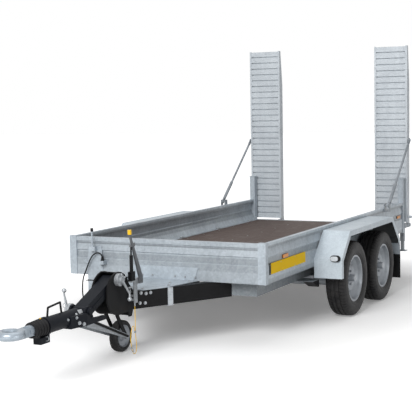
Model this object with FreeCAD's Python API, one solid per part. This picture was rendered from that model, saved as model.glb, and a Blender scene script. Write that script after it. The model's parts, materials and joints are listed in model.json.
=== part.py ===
import FreeCAD, Part
import math
import os

# Plant trailer with two folding ramps, twin axles and a jointed drawbar.
# Millimetres. X points to the trailer's left, +Y to its rear, Z up from the ground.
# Stations along Y are first counted from the outer face of the front panel.

# Body
BODY_HALF_W = 870.0
BODY_L = 3600.0
DECK_TOP_Z = 570.0
SIDE_ABOVE_DECK = 220.0
SIDE_BELOW_DECK = 90.0
SHEET_T = 4.0
RAIL_W = 40.0
RAIL_H = 33.0
GROOVE_INSET = 14.0
GROOVE_DROP = 45.0
BAND_INSET = 4.0
BAND_DROP = 104.0
RECESS_INSET = 11.0
RECESS_TOP_DROP = 110.0
RECESS_BOTTOM_DROP = 164.0
FOOT_INSET = 3.0
FOOT_DROP = 172.0
WALL_FLANGE_W = 30.0
WALL_TOP_Z = DECK_TOP_Z + SIDE_ABOVE_DECK
WALL_BOTTOM_Z = DECK_TOP_Z - SIDE_BELOW_DECK
RECESS_TOP_Z = WALL_TOP_Z - RECESS_TOP_DROP
RECESS_BOTTOM_Z = WALL_TOP_Z - RECESS_BOTTOM_DROP
FOOT_Z = WALL_TOP_Z - FOOT_DROP

# Corner posts
POST_W = 62.0
POST_D = 44.0
POST_CAP_T = 6.0
POST_STANDOFF = 3.0
REAR_POST_SIDE = 56.0
REAR_POST_RISE = 258.0
REAR_POST_DROP = 10.0
REAR_POST_CAP_LIP = 4.0
REAR_POST_TOP_Z = WALL_TOP_Z + REAR_POST_RISE
REAR_POST_BOTTOM_Z = WALL_BOTTOM_Z - REAR_POST_DROP

# Deck
DECK_T = 18.0
DECK_FRONT_GAP = 2.0
DECK_REAR_GAP = 10.0
LEDGE_T = 4.0
LEDGE_FOOT_INSET = 58.0
LEDGE_STRIP_W = 37.0
LEDGE_EDGE_DROP = 25.0
DECK_HALF_W = BODY_HALF_W - LEDGE_FOOT_INSET - LEDGE_STRIP_W
DECK_FRONT_Y = POST_D + DECK_FRONT_GAP
DECK_REAR_Y = BODY_L - DECK_REAR_GAP
LEDGE_TOP_Z = RECESS_TOP_Z - LEDGE_EDGE_DROP
BOARD_TOP_Z = DECK_TOP_Z - LEDGE_T
RING_PLATE_L = 64.0
RING_PLATE_W = 34.0
RING_PLATE_T = 5.0
RING_R = 15.0
RING_ROD_R = 4.0
RING_COUNT = 3
RING_FRONT_Y = 1800.0
RING_REAR_BACK = 200.0

# Chassis
CHASSIS_INSET = 170.0
CHASSIS_W = 60.0
CHASSIS_H = 120.0
CHASSIS_FRONT_Y = 150.0
CROSS_COUNT = 7
CROSS_W = 50.0
CROSS_H = 68.0
CROSS_END_GAP = 0.5
CROSS_FRONT_Y = 70.0
CHANNEL_T = 5.0
GUSSET_T = 6.0
GUSSET_TOP_W = 240.0
GUSSET_BOTTOM_W = 150.0
GUSSET_PLATE_X = 302.0
GUSSET_PLATE_DROP = 35.0
GUSSET_CORNER = 24.0
GUSSET_SHELF_X = 205.0
GUSSET_SHELF_L = 150.0
REAR_BEAM_D = 60.0
REAR_BEAM_H = 90.0
CHASSIS_X = BODY_HALF_W - CHASSIS_INSET
FLOOR_BOTTOM_Z = BOARD_TOP_Z - DECK_T
CROSS_BOTTOM_Z = FLOOR_BOTTOM_Z - CROSS_H
CHASSIS_BOTTOM_Z = CROSS_BOTTOM_Z - CHASSIS_H
BEAM_BACK_Y = BODY_L + REAR_BEAM_D

# Running gear
WHEEL_R = 325.0
TYRE_W = 185.0
TYRE_SIDES = 44
TYRE_SHOULDER = 0.14
TYRE_TREAD_EDGE = 0.2
TYRE_TUCK = 0.08
TYRE_BULGE = 0.45
TYRE_CROWN = 0.016
WHEEL_WALL_GAP = 30.0
WHEEL_GAP = 150.0
AXLE_FRONT_Y = 1480.0
RIM_R = 200.0
RIM_LIP_H = 14.0
RIM_BED_DROP = 24.0
RIM_W = 150.0
RIM_T = 6.0
BED_INSET = 34.0
VALLEY_INSET = 72.0
VALLEY_R = 152.0
CREST_INSET = 40.0
CREST_R = 106.0
HUB_FACE_INSET = 70.0
HUB_FACE_R = 82.0
HUB_SLEEVE_R = 62.0
HUB_CAP_R = 34.0
HUB_CAP_INSET = 16.0
HAND_HOLE_COUNT = 8
HAND_HOLE_R = 13.0
WHEEL_NUT_COUNT = 5
WHEEL_NUT_R = 12.0
WHEEL_NUT_H = 16.0
WHEEL_NUT_CIRCLE_R = 58.0
HEX_SIDES = 6
HUB_BORE_R = 30.0
STUB_CLEAR = 0.05
STUB_INNER_GAP = 8.0
STUB_END_GAP = 1.0
AXLE_TUBE_S = 80.0
AXLE_TUBE_REACH = 60.0
AXLE_WALL = 6.0
TRAIL_ARM_L = 160.0
TRAIL_ARM_R = 42.0
TRAIL_ARM_T = 24.0
LAP = 1.0
SEAT_GAP = 0.3
WHEELBASE = 2 * WHEEL_R + WHEEL_GAP
AXLE_REAR_Y = AXLE_FRONT_Y + WHEELBASE
WHEEL_OUTER_X = BODY_HALF_W + WHEEL_WALL_GAP + TYRE_W
AXLE_TUBE_X = CHASSIS_X + AXLE_TUBE_REACH

# Mudguards
GUARD_OVERHANG = 25.0
GUARD_T = 3.0
GUARD_SKIRT = 45.0
GUARD_CLEAR = 113.0
GUARD_END_CLEAR = 135.0
GUARD_TOP_FRONT = 80.0
GUARD_TOP_REAR = 155.0
GUARD_REAR_KNEE = 64.0
GUARD_TAIL = 87.0
GUARD_KNEE_DROP = 216.0
GUARD_FRONT_H = 162.0
GUARD_REAR_DROP = 213.0
GUARD_TAIL_DROP = 277.0
FLAP_T = 8.0
FLAP_RISE = 47.0
FLAP_H = 230.0
FLAP_WALL_GAP = 35.0
FLAP_SIDE_GAP = 15.0
FLAP_BRACKET_RISE = 40.0
FLAP_BRACKET_T = 5.0
FLAP_BRACKET_CORNER = 40.0
FLAP_LEAF_L = 60.0
FLAP_LAP = 45.0
CHOCK_AHEAD = 70.0
CHOCK_L = 150.0
CHOCK_H = 60.0
CHOCK_W = 90.0
CHOCK_WALL_GAP = 10.0
GUARD_OUTER_X = WHEEL_OUTER_X + GUARD_OVERHANG
GUARD_TOP_Z = 2 * WHEEL_R + GUARD_CLEAR
GUARD_KNEE_Z = GUARD_TOP_Z - GUARD_KNEE_DROP
GUARD_FRONT_Z = GUARD_KNEE_Z - GUARD_FRONT_H
GUARD_REAR_Z = GUARD_TOP_Z - GUARD_REAR_DROP
GUARD_TAIL_Z = GUARD_TOP_Z - GUARD_TAIL_DROP
GUARD_FRONT_Y = AXLE_FRONT_Y - WHEEL_R - GUARD_END_CLEAR
GUARD_TOP_FRONT_Y = AXLE_FRONT_Y - WHEEL_R + GUARD_TOP_FRONT
GUARD_TOP_REAR_Y = AXLE_REAR_Y + WHEEL_R - GUARD_TOP_REAR
GUARD_REAR_KNEE_Y = AXLE_REAR_Y + WHEEL_R + GUARD_REAR_KNEE
GUARD_TAIL_Y = AXLE_REAR_Y + WHEEL_R + GUARD_TAIL
FLAP_Y = AXLE_REAR_Y + WHEEL_R + GUARD_END_CLEAR
FLAP_TOP_Z = WHEEL_R + FLAP_RISE
FLAP_BOTTOM_Z = FLAP_TOP_Z - FLAP_H
FLAP_INNER_X = BODY_HALF_W + FLAP_WALL_GAP
FLAP_OUTER_X = GUARD_OUTER_X - FLAP_SIDE_GAP
FLAP_BRACKET_TOP_Z = WALL_BOTTOM_Z + FLAP_BRACKET_RISE
CHOCK_Y = GUARD_FRONT_Y - CHOCK_AHEAD
CHOCK_X1 = BODY_HALF_W + CHOCK_WALL_GAP

# Drawbar beams and hub
BEAM_H = 130.0
BEAM_W = 66.0
BEAM_WALL = 5.0
BEAM_REAR_X = 430.0
BEAM_KNEE_Y = 6.0
STRAP_Y = -328.0
STRAP_W = 34.0
STRAP_T = 6.0
HUB_X = 56.0
HUB_T = 12.0
HUB_R = 155.0
HUB_REAR_Y = -600.0
HUB_DISC_AHEAD = 200.0
HUB_BELOW_BEAM = 5.0
HUB_BACK_T = 12.0
HUB_SHOULDER = 72.0
HUB_FACE_X = HUB_X + HUB_T
HUB_DISC_Y = HUB_REAR_Y - HUB_DISC_AHEAD
BEAM_BOTTOM_Z = CROSS_BOTTOM_Z - BEAM_H
HUB_BOTTOM_Z = BEAM_BOTTOM_Z - HUB_BELOW_BEAM
HUB_DISC_Z = HUB_BOTTOM_Z + HUB_R
PIVOT_AHEAD = 12.0
PIVOT_RISE = 102.0
ARM_PIVOT_Y = HUB_DISC_Y - PIVOT_AHEAD
ARM_PIVOT_Z = HUB_DISC_Z + PIVOT_RISE
HOOD_R = 54.0
HOOD_T = 8.0
HOOD_START_DEG = 10.0
HOOD_END_DEG = 100.0
PIVOT_R = 20.0
PIVOT_CLEAR = 0.05

# Drawbar arm
ARM_RUN = 383.0
ARM_DROP = 162.0
ARM_SIDE_GAP = 6.0
ARM_ABOVE = 26.0
ARM_BELOW = 56.0
ARM_END_R = 40.0
ARM_BOSS_R = 28.0
ARM_WALL = 6.0
ARM_BAR_W = 16.0
ARM_BAR_T = 4.0
ARM_BAR_LOW = -30.0
ARM_BAR_START = 184.0
ARM_BAR_END = 338.0
ARM_HALF_W = HUB_X - ARM_SIDE_GAP
HEAD_PIVOT_Y = ARM_PIVOT_Y - ARM_RUN
HEAD_PIVOT_Z = ARM_PIVOT_Z - ARM_DROP

# Toothed joints and their levers
TOOTH_DISC_R = 46.0
TOOTH_DISC_T = 15.0
TOOTH_COUNT = 24
TOOTH_DEPTH = 3.0
TOOTH_FILL = 0.9
TOOTH_CORE = 0.72
TOOTH_ROOT = 0.7
LEVER_ROOT_R = 11.0
LEVER_ROD_R = 7.0
LEVER_BALL_R = 15.0
LEVER_NUT_R = 26.0
LEVER_NUT_T = 18.0
LEVER_LEAN = 9.0
HUB_LEVER_BACK = 85.0
HUB_LEVER_DROP = 112.0
HEAD_LEVER_AHEAD = 18.0
HEAD_LEVER_TOP = 99.0
LEVER_TIP_L = 40.0
HEAD_LEVER_TIP_AHEAD = 8.0
PIN_HEAD_R = 25.0
PIN_HEAD_T = 20.0

# Drawbar head and overrun coupling
HEAD_CHEEK_T = 12.0
HEAD_FLANGE_X = 92.0
HEAD_BACK = 185.0
HEAD_NOSE = 210.0
HEAD_WEB = 57.0
HEAD_TOP_DROP = 2.0
HEAD_BOTTOM_DROP = 85.0
HEAD_REAR_DROP = 58.0
HEAD_FLANGE_RISE = 12.0
HEAD_CHEEK_RISE = 36.0
HEAD_CHEEK_FLAT = 20.0
HEAD_CHEEK_SLOPE = 60.0
HEAD_CHEEK_LIP = 10.0
HEAD_NOSE_LIP = 6.0
TUBE_R = 55.0
TUBE_DROP = 26.0
TUBE_L = 234.0
BELLOWS_L = 141.0
BELLOWS_R = 60.0
BELLOWS_ROOT_R = 47.0
BELLOWS_STEP = 1.5
BELLOWS_RIBS = 5
RIB_START = 0.25
RIB_END = 0.6
NECK_W = 66.0
NECK_H = 56.0
NECK_COLLAR_R = 38.0
NECK_COLLAR_L = 44.0
EYE_AHEAD = 210.0
EYE_RISE = 14.0
EYE_BORE_R = 38.0
EYE_RING_R = 66.0
EYE_WIRE_R = 28.0
HANDLE_ROD_R = 7.0
HANDLE_AHEAD = 49.0
HANDLE_L = 165.0
HANDLE_RISE = 75.0
HANDLE_LEAN = 12.0
HANDLE_SINK = 3.0
NOSE_BLOCK_L = 70.0
NOSE_BLOCK_W = 60.0
NOSE_BLOCK_H = 52.0
NOSE_BLOCK_GAP = 4.0
COLLAR_L = 30.0
COLLAR_R = 61.0
HEAD_CHEEK_X = HUB_X
HEAD_REAR_Y = HEAD_PIVOT_Y + HEAD_BACK
HEAD_NOSE_Y = HEAD_PIVOT_Y - HEAD_NOSE
HEAD_WEB_Y = HEAD_PIVOT_Y - HEAD_WEB
HEAD_TOP_Z = HEAD_PIVOT_Z - HEAD_TOP_DROP
HEAD_BOTTOM_Z = HEAD_PIVOT_Z - HEAD_BOTTOM_DROP
HEAD_REAR_TOP_Z = HEAD_PIVOT_Z - HEAD_REAR_DROP
TUBE_Z = HEAD_PIVOT_Z - TUBE_DROP
TUBE_FRONT_Y = HEAD_NOSE_Y - TUBE_L
BELLOWS_FRONT_Y = TUBE_FRONT_Y - BELLOWS_L
EYE_Y = BELLOWS_FRONT_Y - EYE_AHEAD
EYE_Z = TUBE_Z + EYE_RISE
HANDLE_FRONT_Y = TUBE_FRONT_Y + HANDLE_AHEAD
HANDLE_REAR_Y = HANDLE_FRONT_Y + HANDLE_L
EYE_TIP_Y = EYE_Y - EYE_RING_R - EYE_WIRE_R

# Jockey wheel
JOCKEY_SIDE_GAP = 50.0
JOCKEY_R = 120.0
JOCKEY_TYRE_W = 66.0
JOCKEY_SIDES = 30
JOCKEY_RIM_R = 84.0
JOCKEY_RIM_W = 60.0
JOCKEY_AXLE_R = 10.0
JOCKEY_BEHIND = 136.0
RIM_NAVE = 0.3
RIM_WELL = 0.45
RIM_FLARE = 0.88
WELL_DEPTH = 0.4
FLARE_DEPTH = 0.6
FORK_SIDE_GAP = 10.0
FORK_T = 8.0
FORK_W = 34.0
FORK_AHEAD = 36.0
FORK_BELOW = 23.0
FORK_PIN_R = 12.0
TIE_SIDE_GAP = 9.0
TIE_T = 6.0
TIE_BEHIND = 20.0
TIE_BELOW = 33.0
TIE_FRONT_H = 62.0
TIE_REAR_H = 30.0
TIE_PIN_R = 10.0
TIE_STRUT_R = 9.0
TIE_STRUT_SINK = 3.0
TIE_STRUT_RISE = 16.0
JOCKEY_X = -HUB_X - JOCKEY_SIDE_GAP
FORK_GAP = JOCKEY_TYRE_W / 2 + FORK_SIDE_GAP
TIE_GAP = FORK_GAP + FORK_T + TIE_SIDE_GAP
FORK_PIVOT_Y = HUB_REAR_Y - FORK_AHEAD
FORK_PIVOT_Z = HUB_BOTTOM_Z - FORK_BELOW
JOCKEY_Y = FORK_PIVOT_Y + JOCKEY_BEHIND
TIE_PIVOT_Y = HEAD_REAR_Y - TIE_BEHIND
TIE_PIVOT_Z = HEAD_BOTTOM_Z - TIE_BELOW

# Ramps, stays and rear props
RAMP_OVERHANG = 23.0
RAMP_W = 353.0
RAMP_L = 1845.0
RAMP_POST_GAP = 30.0
RAMP_DEPTH = 80.0
RAMP_TIP_DEPTH = 34.0
RAMP_TAPER_L = 370.0
RAMP_ABOVE_DECK = 5.0
RAMP_CHEEK_T = 5.0
RAMP_FLANGE_W = 20.0
SLAT_PITCH = 63.6
SLAT_H = 52.0
SLAT_T = 4.0
SLAT_LIP = 24.0
RAMP_HINGE_BACK = 66.0
RAMP_HINGE_DROP = 25.0
RAMP_PIN_R = 12.0
RAMP_PIN_CAP_R = 19.0
RAMP_PIN_CAP_T = 14.0
RAMP_EAR_R = 26.0
RAMP_EAR_T = 10.0
LUG_T = 12.0
LUG_GAP = 1.0
LOCK_BACK = 40.0
LOCK_RISE = 57.0
LOCK_ROD_R = 12.0
LOCK_REACH = 26.0
LOCK_BALL_R = 15.0
STAY_RAMP_GAP = 11.0
STAY_T = 12.0
STAY_BASE_AHEAD = 625.0
STAY_BASE_RISE = 28.0
STAY_TOP_BACK = 32.0
STAY_TOP_RISE = 865.0
STAY_ROD_R = 11.0
STAY_SLEEVE_R = 16.0
STAY_SLEEVE_L = 260.0
STAY_EYE_R = 20.0
STAY_TAB_L = 38.0
STAY_TAB_FILL = 0.8
STAY_STUD_R = 8.0
STAY_STUD_CLEAR = 0.3
STAY_PLATE_HALF = 30.0
STAY_EAR_HALF = 20.0
STAY_PLATE_T = 8.0
STAY_EAR_T = 6.0
STAY_EAR_GAP = 2.0
PROP_S = 44.0
PROP_LEG_S = 34.0
PROP_SLEEVE_L = 180.0
PROP_FOOT_Z = 276.0
PROP_FOOT_S = 92.0
PROP_FOOT_T = 8.0
PROP_GAP = 4.0
PROP_TOP_DROP = 10.0
PROP_SCREW_R = 9.0
PROP_SCREW_L = 42.0
PROP_BALL_R = 13.0
RAMP_OUTER_X = BODY_HALF_W + RAMP_OVERHANG
RAMP_INNER_X = RAMP_OUTER_X - RAMP_W
RAMP_FRONT_Y = BEAM_BACK_Y + RAMP_POST_GAP
RAMP_REAR_Y = RAMP_FRONT_Y + RAMP_DEPTH
RAMP_BOTTOM_Z = DECK_TOP_Z + RAMP_ABOVE_DECK
RAMP_TOP_Z = RAMP_BOTTOM_Z + RAMP_L
RAMP_HINGE_Y = RAMP_FRONT_Y + RAMP_HINGE_BACK
RAMP_HINGE_Z = DECK_TOP_Z - RAMP_HINGE_DROP
STAY_X = RAMP_OUTER_X + STAY_RAMP_GAP
STAY_BASE_Y = BODY_L - STAY_BASE_AHEAD
STAY_BASE_Z = WALL_TOP_Z + STAY_BASE_RISE
STAY_TOP_Y = RAMP_FRONT_Y + STAY_TOP_BACK
STAY_TOP_Z = RAMP_BOTTOM_Z + STAY_TOP_RISE
LUG_OUTER_X = RAMP_OUTER_X - RAMP_EAR_T - LUG_GAP
PROP_X = LUG_OUTER_X - LUG_T - PROP_GAP - PROP_S / 2

# Brake lever, gas strut and breakaway cord
LEVER_T = 12.0
LEVER_FOOT_BACK = 40.0
LEVER_FOOT_RISE = 90.0
LEVER_LEAN_BACK = 143.0
LEVER_H = 360.0
LEVER_TOP_HALF = 7.0
LEVER_FOOT_HALF = 24.0
LEVER_GRIP_R = 15.0
LEVER_GRIP_L = 34.0
LEVER_PIN_R = 9.0
LINK_PLATE_X = 100.0
LINK_PLATE_T = 8.0
LINK_AHEAD = 45.0
LINK_BOTTOM_RISE = 60.0
LINK_STUD_R = 6.0
LINK_STUD_L = 78.0
LINK_STUD_RISE = 183.0
LINK_SPACER_R = 9.0
LINK_SPACER_RISES = (80.0, 110.0)
LINK_MIDDLE = 22.0
LINK_SHOULDER = 60.0
CORD_R = 2.5
CORD_TRIM = 0.45
CORD_FERRULE_R = 5.0
CORD_FERRULE_L = 22.0
STRUT_AHEAD = 128.0
STRUT_TOP_RISE = 234.0
STRUT_SEAT_RISE = 78.0
STRUT_BODY_R = 13.0
STRUT_PISTON_R = 6.0
STRUT_SHOW = 60.0
STRUT_EYE_R = 13.0
STRUT_BLOCK_H = 67.0
STRUT_BLOCK_L = 54.0
STRUT_BLOCK_T = 30.0
LEVER_FOOT_Y = HUB_REAR_Y + LEVER_FOOT_BACK
LEVER_FOOT_Z = HUB_DISC_Z + LEVER_FOOT_RISE
LEVER_TOP_Y = LEVER_FOOT_Y - LEVER_LEAN_BACK
LEVER_TOP_Z = LEVER_FOOT_Z + LEVER_H

# Cable stand
STAND_INSET = 166.0
STAND_W = 143.0
STAND_TOP_DROP = 74.0
STAND_H = 416.0
STAND_T = 5.0
STAND_CLIP = 50.0
STAND_CLIP_H = 34.0
STAND_FOLD = 14.0
KNOB_INSET = 72.0
KNOB_Y = -40.0
KNOB_RISE = 50.0
KNOB_ROD_R = 7.0
KNOB_R = 12.0
KNOB_H = 26.0
CABLE_R = 5.5
CABLE_Y = -30.0
SOCKET_DX = 16.0
SOCKET_R = 22.0
SOCKET_H = 30.0
SOCKET_DROP = 141.0
PLUG_R = 15.0
PLUG_L = 42.0
HORN_L = 34.0
HORN_H = 40.0
HORN_DROP = 145.0
GLAND_R = 13.0
GLAND_L = 24.0
GLAND_Y = -270.0
GLAND_Z = 415.0
STAND_X0 = -BODY_HALF_W + STAND_INSET
STAND_X1 = STAND_X0 + STAND_W
STAND_TOP_Z = WALL_TOP_Z - STAND_TOP_DROP
STAND_BOTTOM_Z = STAND_TOP_Z - STAND_H
STAND_FRONT_Y = FOOT_INSET - STAND_T
KNOB_X = STAND_X0 + KNOB_INSET
KNOB_TOP_Z = WALL_TOP_Z + KNOB_RISE
SOCKET_X = STAND_X1 + SOCKET_DX
SOCKET_Z = STAND_TOP_Z - SOCKET_DROP

# Lamps
MARKER_FRONT_Y = 402.0
MARKER_REAR_BACK = 135.0
MARKER_L = 100.0
MARKER_H = 26.0
MARKER_T = 10.0
MARKER_RISE = 14.0
LAMP_EDGE = 98.0
LAMP_W = 88.0
LAMP_D = 26.0
LAMP_BELOW_KNEE = 20.0
LAMP_H = 56.0
REAR_LAMP_GAP = 30.0
REAR_LAMP_W = 210.0
REAR_LAMP_D = 26.0
REAR_LAMP_H = 80.0
REAR_LAMP_RISE = 6.0

# Points of the power cable's route, from its plug to the gland on the right-hand drawbar beam
CABLE_ROUTE = [
    (-545.0, -30.0, 610.0),
    (-545.0, -30.0, 648.0),
    (-578.0, -31.0, 670.0),
    (-628.0, -33.0, 656.0),
    (-668.0, -31.0, 600.0),
    (-700.0, -30.0, 526.0),
    (-732.0, -31.0, 460.0),
    (-743.0, -30.0, 392.0),
    (-742.0, -33.0, 328.0),
    (-722.0, -46.0, 272.0),
    (-668.0, -80.0, 250.0),
    (-600.0, -150.0, 262.0),
    (-520.0, -225.0, 300.0),
    (-445.0, -292.0, 350.0),
    (-390.0, -334.0, 396.0),
    (-336.4, -312.0, 414.5),
    (-285.9, -282.5, 415.0),
]

# Points of the breakaway cord's route, straight down from its ferrule and round one loop
CORD_ROUTE = [
    (104.0, -636.0, 383.0),
    (104.0, -636.0, 150.0),
    (107.0, -629.0, 104.0),
    (110.0, -634.0, 62.0),
    (112.0, -655.0, 36.0),
    (114.0, -684.0, 38.0),
    (115.0, -706.0, 66.0),
    (115.0, -719.0, 110.0),
    (115.0, -726.0, 158.0),
    (113.0, -714.0, 204.0),
    (109.0, -684.0, 248.0),
    (104.0, -649.0, 236.0),
    (104.0, -649.0, 202.0),
]
CLIP_POINT = 6
CLIP_RING_R = 4.8
CLIP_WIRE_R = 2.0
CLIP_L = 58.0
CLIP_W = 20.0
CLIP_STANDOFF = 7.0
CLIP_LEAN = 0.73
FERRULE_R = 4.5
FERRULE_L = 16.0

REAR_MOST_Y = max(RAMP_REAR_Y, RAMP_HINGE_Y + RAMP_EAR_R)
ORIGIN_Y = (EYE_TIP_Y + REAR_MOST_Y) / 2
UP = FreeCAD.Vector(0, 0, 1)


def vec(x, y, z):
    return FreeCAD.Vector(x, y, z)


def box(x0, x1, y0, y1, z0, z1):
    return Part.makeBox(x1 - x0, y1 - y0, z1 - z0, vec(x0, y0, z0))


def rod(start, end, radius):
    return Part.makeCylinder(radius, (end - start).Length, start, end - start)


def tapered_rod(start, end, start_r, end_r):
    return Part.makeCone(start_r, end_r, (end - start).Length, start, end - start)


def cross_rod(x0, x1, y, z, radius):
    return rod(vec(x0, y, z), vec(x1, y, z), radius)


def polygon_face(points):
    return Part.Face(Part.makePolygon(points + [points[0]]))


def side_plate(outline, x0, x1):
    """A plate with an outline of (y, z) corners, from x0 to x1."""
    points = [vec(x0, y, z) for y, z in outline]
    return polygon_face(points).extrude(vec(x1 - x0, 0, 0))


def flat_plate(outline, z0, z1):
    """A plate with an outline of (x, y) corners, from z0 to z1."""
    points = [vec(x, y, z0) for x, y in outline]
    return polygon_face(points).extrude(vec(0, 0, z1 - z0))


def long_section(outline, y0, y1):
    """A section with an outline of (x, z) corners, from y0 to y1."""
    points = [vec(x, y0, z) for x, z in outline]
    return polygon_face(points).extrude(vec(0, y1 - y0, 0))


def turned_x(outline, y, z):
    """A solid turned about an axis along X; the outline has (x, radius) corners."""
    points = [vec(x, y, z + radius) for x, radius in outline]
    return polygon_face(points).revolve(vec(0, y, z), vec(1, 0, 0), 360)


def turned_y(outline, x, z):
    """A solid turned about an axis along Y; the outline has (y, radius) corners."""
    points = [vec(x, y, z + radius) for y, radius in outline]
    return polygon_face(points).revolve(vec(x, 0, z), vec(0, 1, 0), 360)


def facet_angles(sides):
    """Corner angles of a ring of flat sides, one of which faces straight down."""
    return [2 * math.pi * (index + 0.5) / sides - math.pi / 2 for index in range(sides)]


def faceted_x(outline, y, z, sides):
    """A ring of flat sides about an axis along X; the outline has (x, distance to the flat) corners."""
    stretch = 1 / math.cos(math.pi / sides)
    angles = facet_angles(sides)
    rings = []
    for x, radius in outline:
        reach = radius * stretch
        rings.append([vec(x, y + reach * math.cos(a), z + reach * math.sin(a)) for a in angles])
    faces = []
    for ring, following in zip(rings, rings[1:] + rings[:1]):
        for index in range(sides):
            after = (index + 1) % sides
            faces.append(polygon_face([ring[index], ring[after], following[after], following[index]]))
    solid = Part.Solid(Part.makeShell(faces))
    if solid.Volume < 0:
        solid.reverse()
    return solid


def fuse(shapes):
    first = shapes[0]
    if len(shapes) > 1:
        first = first.multiFuse(shapes[1:])
    return first.removeSplitter()


def mirror_x(shape):
    return shape.mirror(vec(0, 0, 0), vec(1, 0, 0))


def bent_rod(points, radius):
    """A rod through the points, with a ball at each bend."""
    pieces = [rod(a, b, radius) for a, b in zip(points, points[1:])]
    pieces += [Part.makeSphere(radius, p) for p in points[1:-1]]
    return fuse(pieces)


def cord(name, route, radius):
    """A tube along straight runs joined by tangent arcs; its bends are printed."""
    points = [vec(*point) for point in route]
    edges = []
    bends = []
    last = points[0]
    for before, here, after in zip(points, points[1:], points[2:]):
        to_before = (before - here).normalize()
        to_after = (after - here).normalize()
        turn = math.pi - to_before.getAngle(to_after)
        trim = CORD_TRIM * min((before - here).Length, (after - here).Length)
        bends.append(trim / math.tan(turn / 2))
        start = here + to_before * trim
        end = here + to_after * trim
        centre_way = (to_before + to_after).normalize()
        centre = here + centre_way * (bends[-1] / math.cos(turn / 2))
        middle = centre - centre_way * bends[-1]
        edges.append(Part.LineSegment(last, start).toShape())
        edges.append(Part.Arc(start, middle, end).toShape())
        last = end
    edges.append(Part.LineSegment(last, points[-1]).toShape())
    path = Part.Wire(edges)
    profile = Part.Wire([Part.Circle(points[0], points[1] - points[0], radius).toShape()])
    tube = path.makePipeShell([profile], True, False)
    expected = math.pi * radius ** 2 * path.Length
    print(name, "length", round(path.Length), "bends", [round(b) for b in bends],
          "volume ratio", round(tube.Volume / expected, 4))
    keep(name, tube)


NODES = {}


def keep(name, *shapes):
    NODES[name] = list(shapes)


# Folded wall sheets

def wall_outline():
    """The wall's section as (inset from the outer face, height) corners."""
    rail_bottom = WALL_TOP_Z - RAIL_H
    groove_z = WALL_TOP_Z - GROOVE_DROP
    band_z = WALL_TOP_Z - BAND_DROP
    outer = [
        (0.0, WALL_TOP_Z),
        (0.0, rail_bottom),
        (GROOVE_INSET, rail_bottom),
        (GROOVE_INSET, groove_z),
        (BAND_INSET, band_z),
        (RECESS_INSET, RECESS_TOP_Z),
        (RECESS_INSET, RECESS_BOTTOM_Z),
        (FOOT_INSET, FOOT_Z),
        (FOOT_INSET, WALL_BOTTOM_Z),
    ]
    inner = [
        (WALL_FLANGE_W, WALL_BOTTOM_Z),
        (WALL_FLANGE_W, WALL_BOTTOM_Z + SHEET_T),
        (FOOT_INSET + SHEET_T, WALL_BOTTOM_Z + SHEET_T),
        (FOOT_INSET + SHEET_T, FOOT_Z),
        (RECESS_INSET + SHEET_T, RECESS_BOTTOM_Z),
        (RECESS_INSET + SHEET_T, RECESS_TOP_Z),
        (BAND_INSET + SHEET_T, band_z),
        (GROOVE_INSET + SHEET_T, groove_z),
        (GROOVE_INSET + SHEET_T, rail_bottom),
        (RAIL_W, rail_bottom),
        (RAIL_W, WALL_TOP_Z),
    ]
    return outer + inner


def side_wall():
    outline = [(BODY_HALF_W - inset, height) for inset, height in wall_outline()]
    wall = long_section(outline, POST_D, BODY_L)
    back_x = BODY_HALF_W - RECESS_INSET - SHEET_T
    foot_x = BODY_HALF_W - LEDGE_FOOT_INSET
    run = back_x - foot_x
    rise = LEDGE_TOP_Z - DECK_TOP_Z
    drop = LEDGE_T * math.hypot(run, rise) / run
    ledge = [
        (back_x, LEDGE_TOP_Z),
        (foot_x, DECK_TOP_Z),
        (DECK_HALF_W, DECK_TOP_Z),
        (DECK_HALF_W, BOARD_TOP_Z),
        (foot_x + (drop - LEDGE_T) * run / rise, BOARD_TOP_Z),
        (back_x, LEDGE_TOP_Z - drop),
    ]
    return wall, long_section(ledge, DECK_FRONT_Y, DECK_REAR_Y)


# Body panels, deck, posts and lashing rings

def build_body():
    wall, ledge = side_wall()
    keep("side_left", wall, ledge)
    keep("side_right", mirror_x(wall), mirror_x(ledge))
    half = BODY_HALF_W - POST_W
    points = [vec(-half, inset, height) for inset, height in wall_outline()]
    keep("front_panel", polygon_face(points).extrude(vec(2 * half, 0, 0)))
    keep("deck_board", box(-DECK_HALF_W, DECK_HALF_W, DECK_FRONT_Y, DECK_REAR_Y, FLOOR_BOTTOM_Z, BOARD_TOP_Z))


def build_posts():
    inner = BODY_HALF_W - POST_W
    outer = BODY_HALF_W + POST_STANDOFF
    post = box(inner, outer, -POST_STANDOFF, POST_D, WALL_BOTTOM_Z, WALL_TOP_Z)
    bore = box(inner + SHEET_T, outer - SHEET_T, SHEET_T - POST_STANDOFF, POST_D - SHEET_T, WALL_BOTTOM_Z, WALL_TOP_Z)
    cap = box(inner, outer, -POST_STANDOFF, POST_D, WALL_TOP_Z, WALL_TOP_Z + POST_CAP_T)
    corner = fuse([post.cut(bore), cap])
    keep("corner_posts", corner, mirror_x(corner))
    rear_inner = outer - REAR_POST_SIDE
    lip = REAR_POST_CAP_LIP
    cap_bottom = REAR_POST_TOP_Z - POST_CAP_T
    column = box(rear_inner, outer, BODY_L, BEAM_BACK_Y, REAR_POST_BOTTOM_Z, REAR_POST_TOP_Z)
    hollow = box(rear_inner + SHEET_T, outer - SHEET_T, BODY_L + SHEET_T, BEAM_BACK_Y - SHEET_T,
                 REAR_POST_BOTTOM_Z, cap_bottom)
    plate = box(rear_inner - lip, outer + lip, BODY_L - lip, BEAM_BACK_Y + lip, cap_bottom, REAR_POST_TOP_Z)
    rear = fuse([column.cut(hollow), plate])
    keep("rear_posts", rear, mirror_x(rear))


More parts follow.
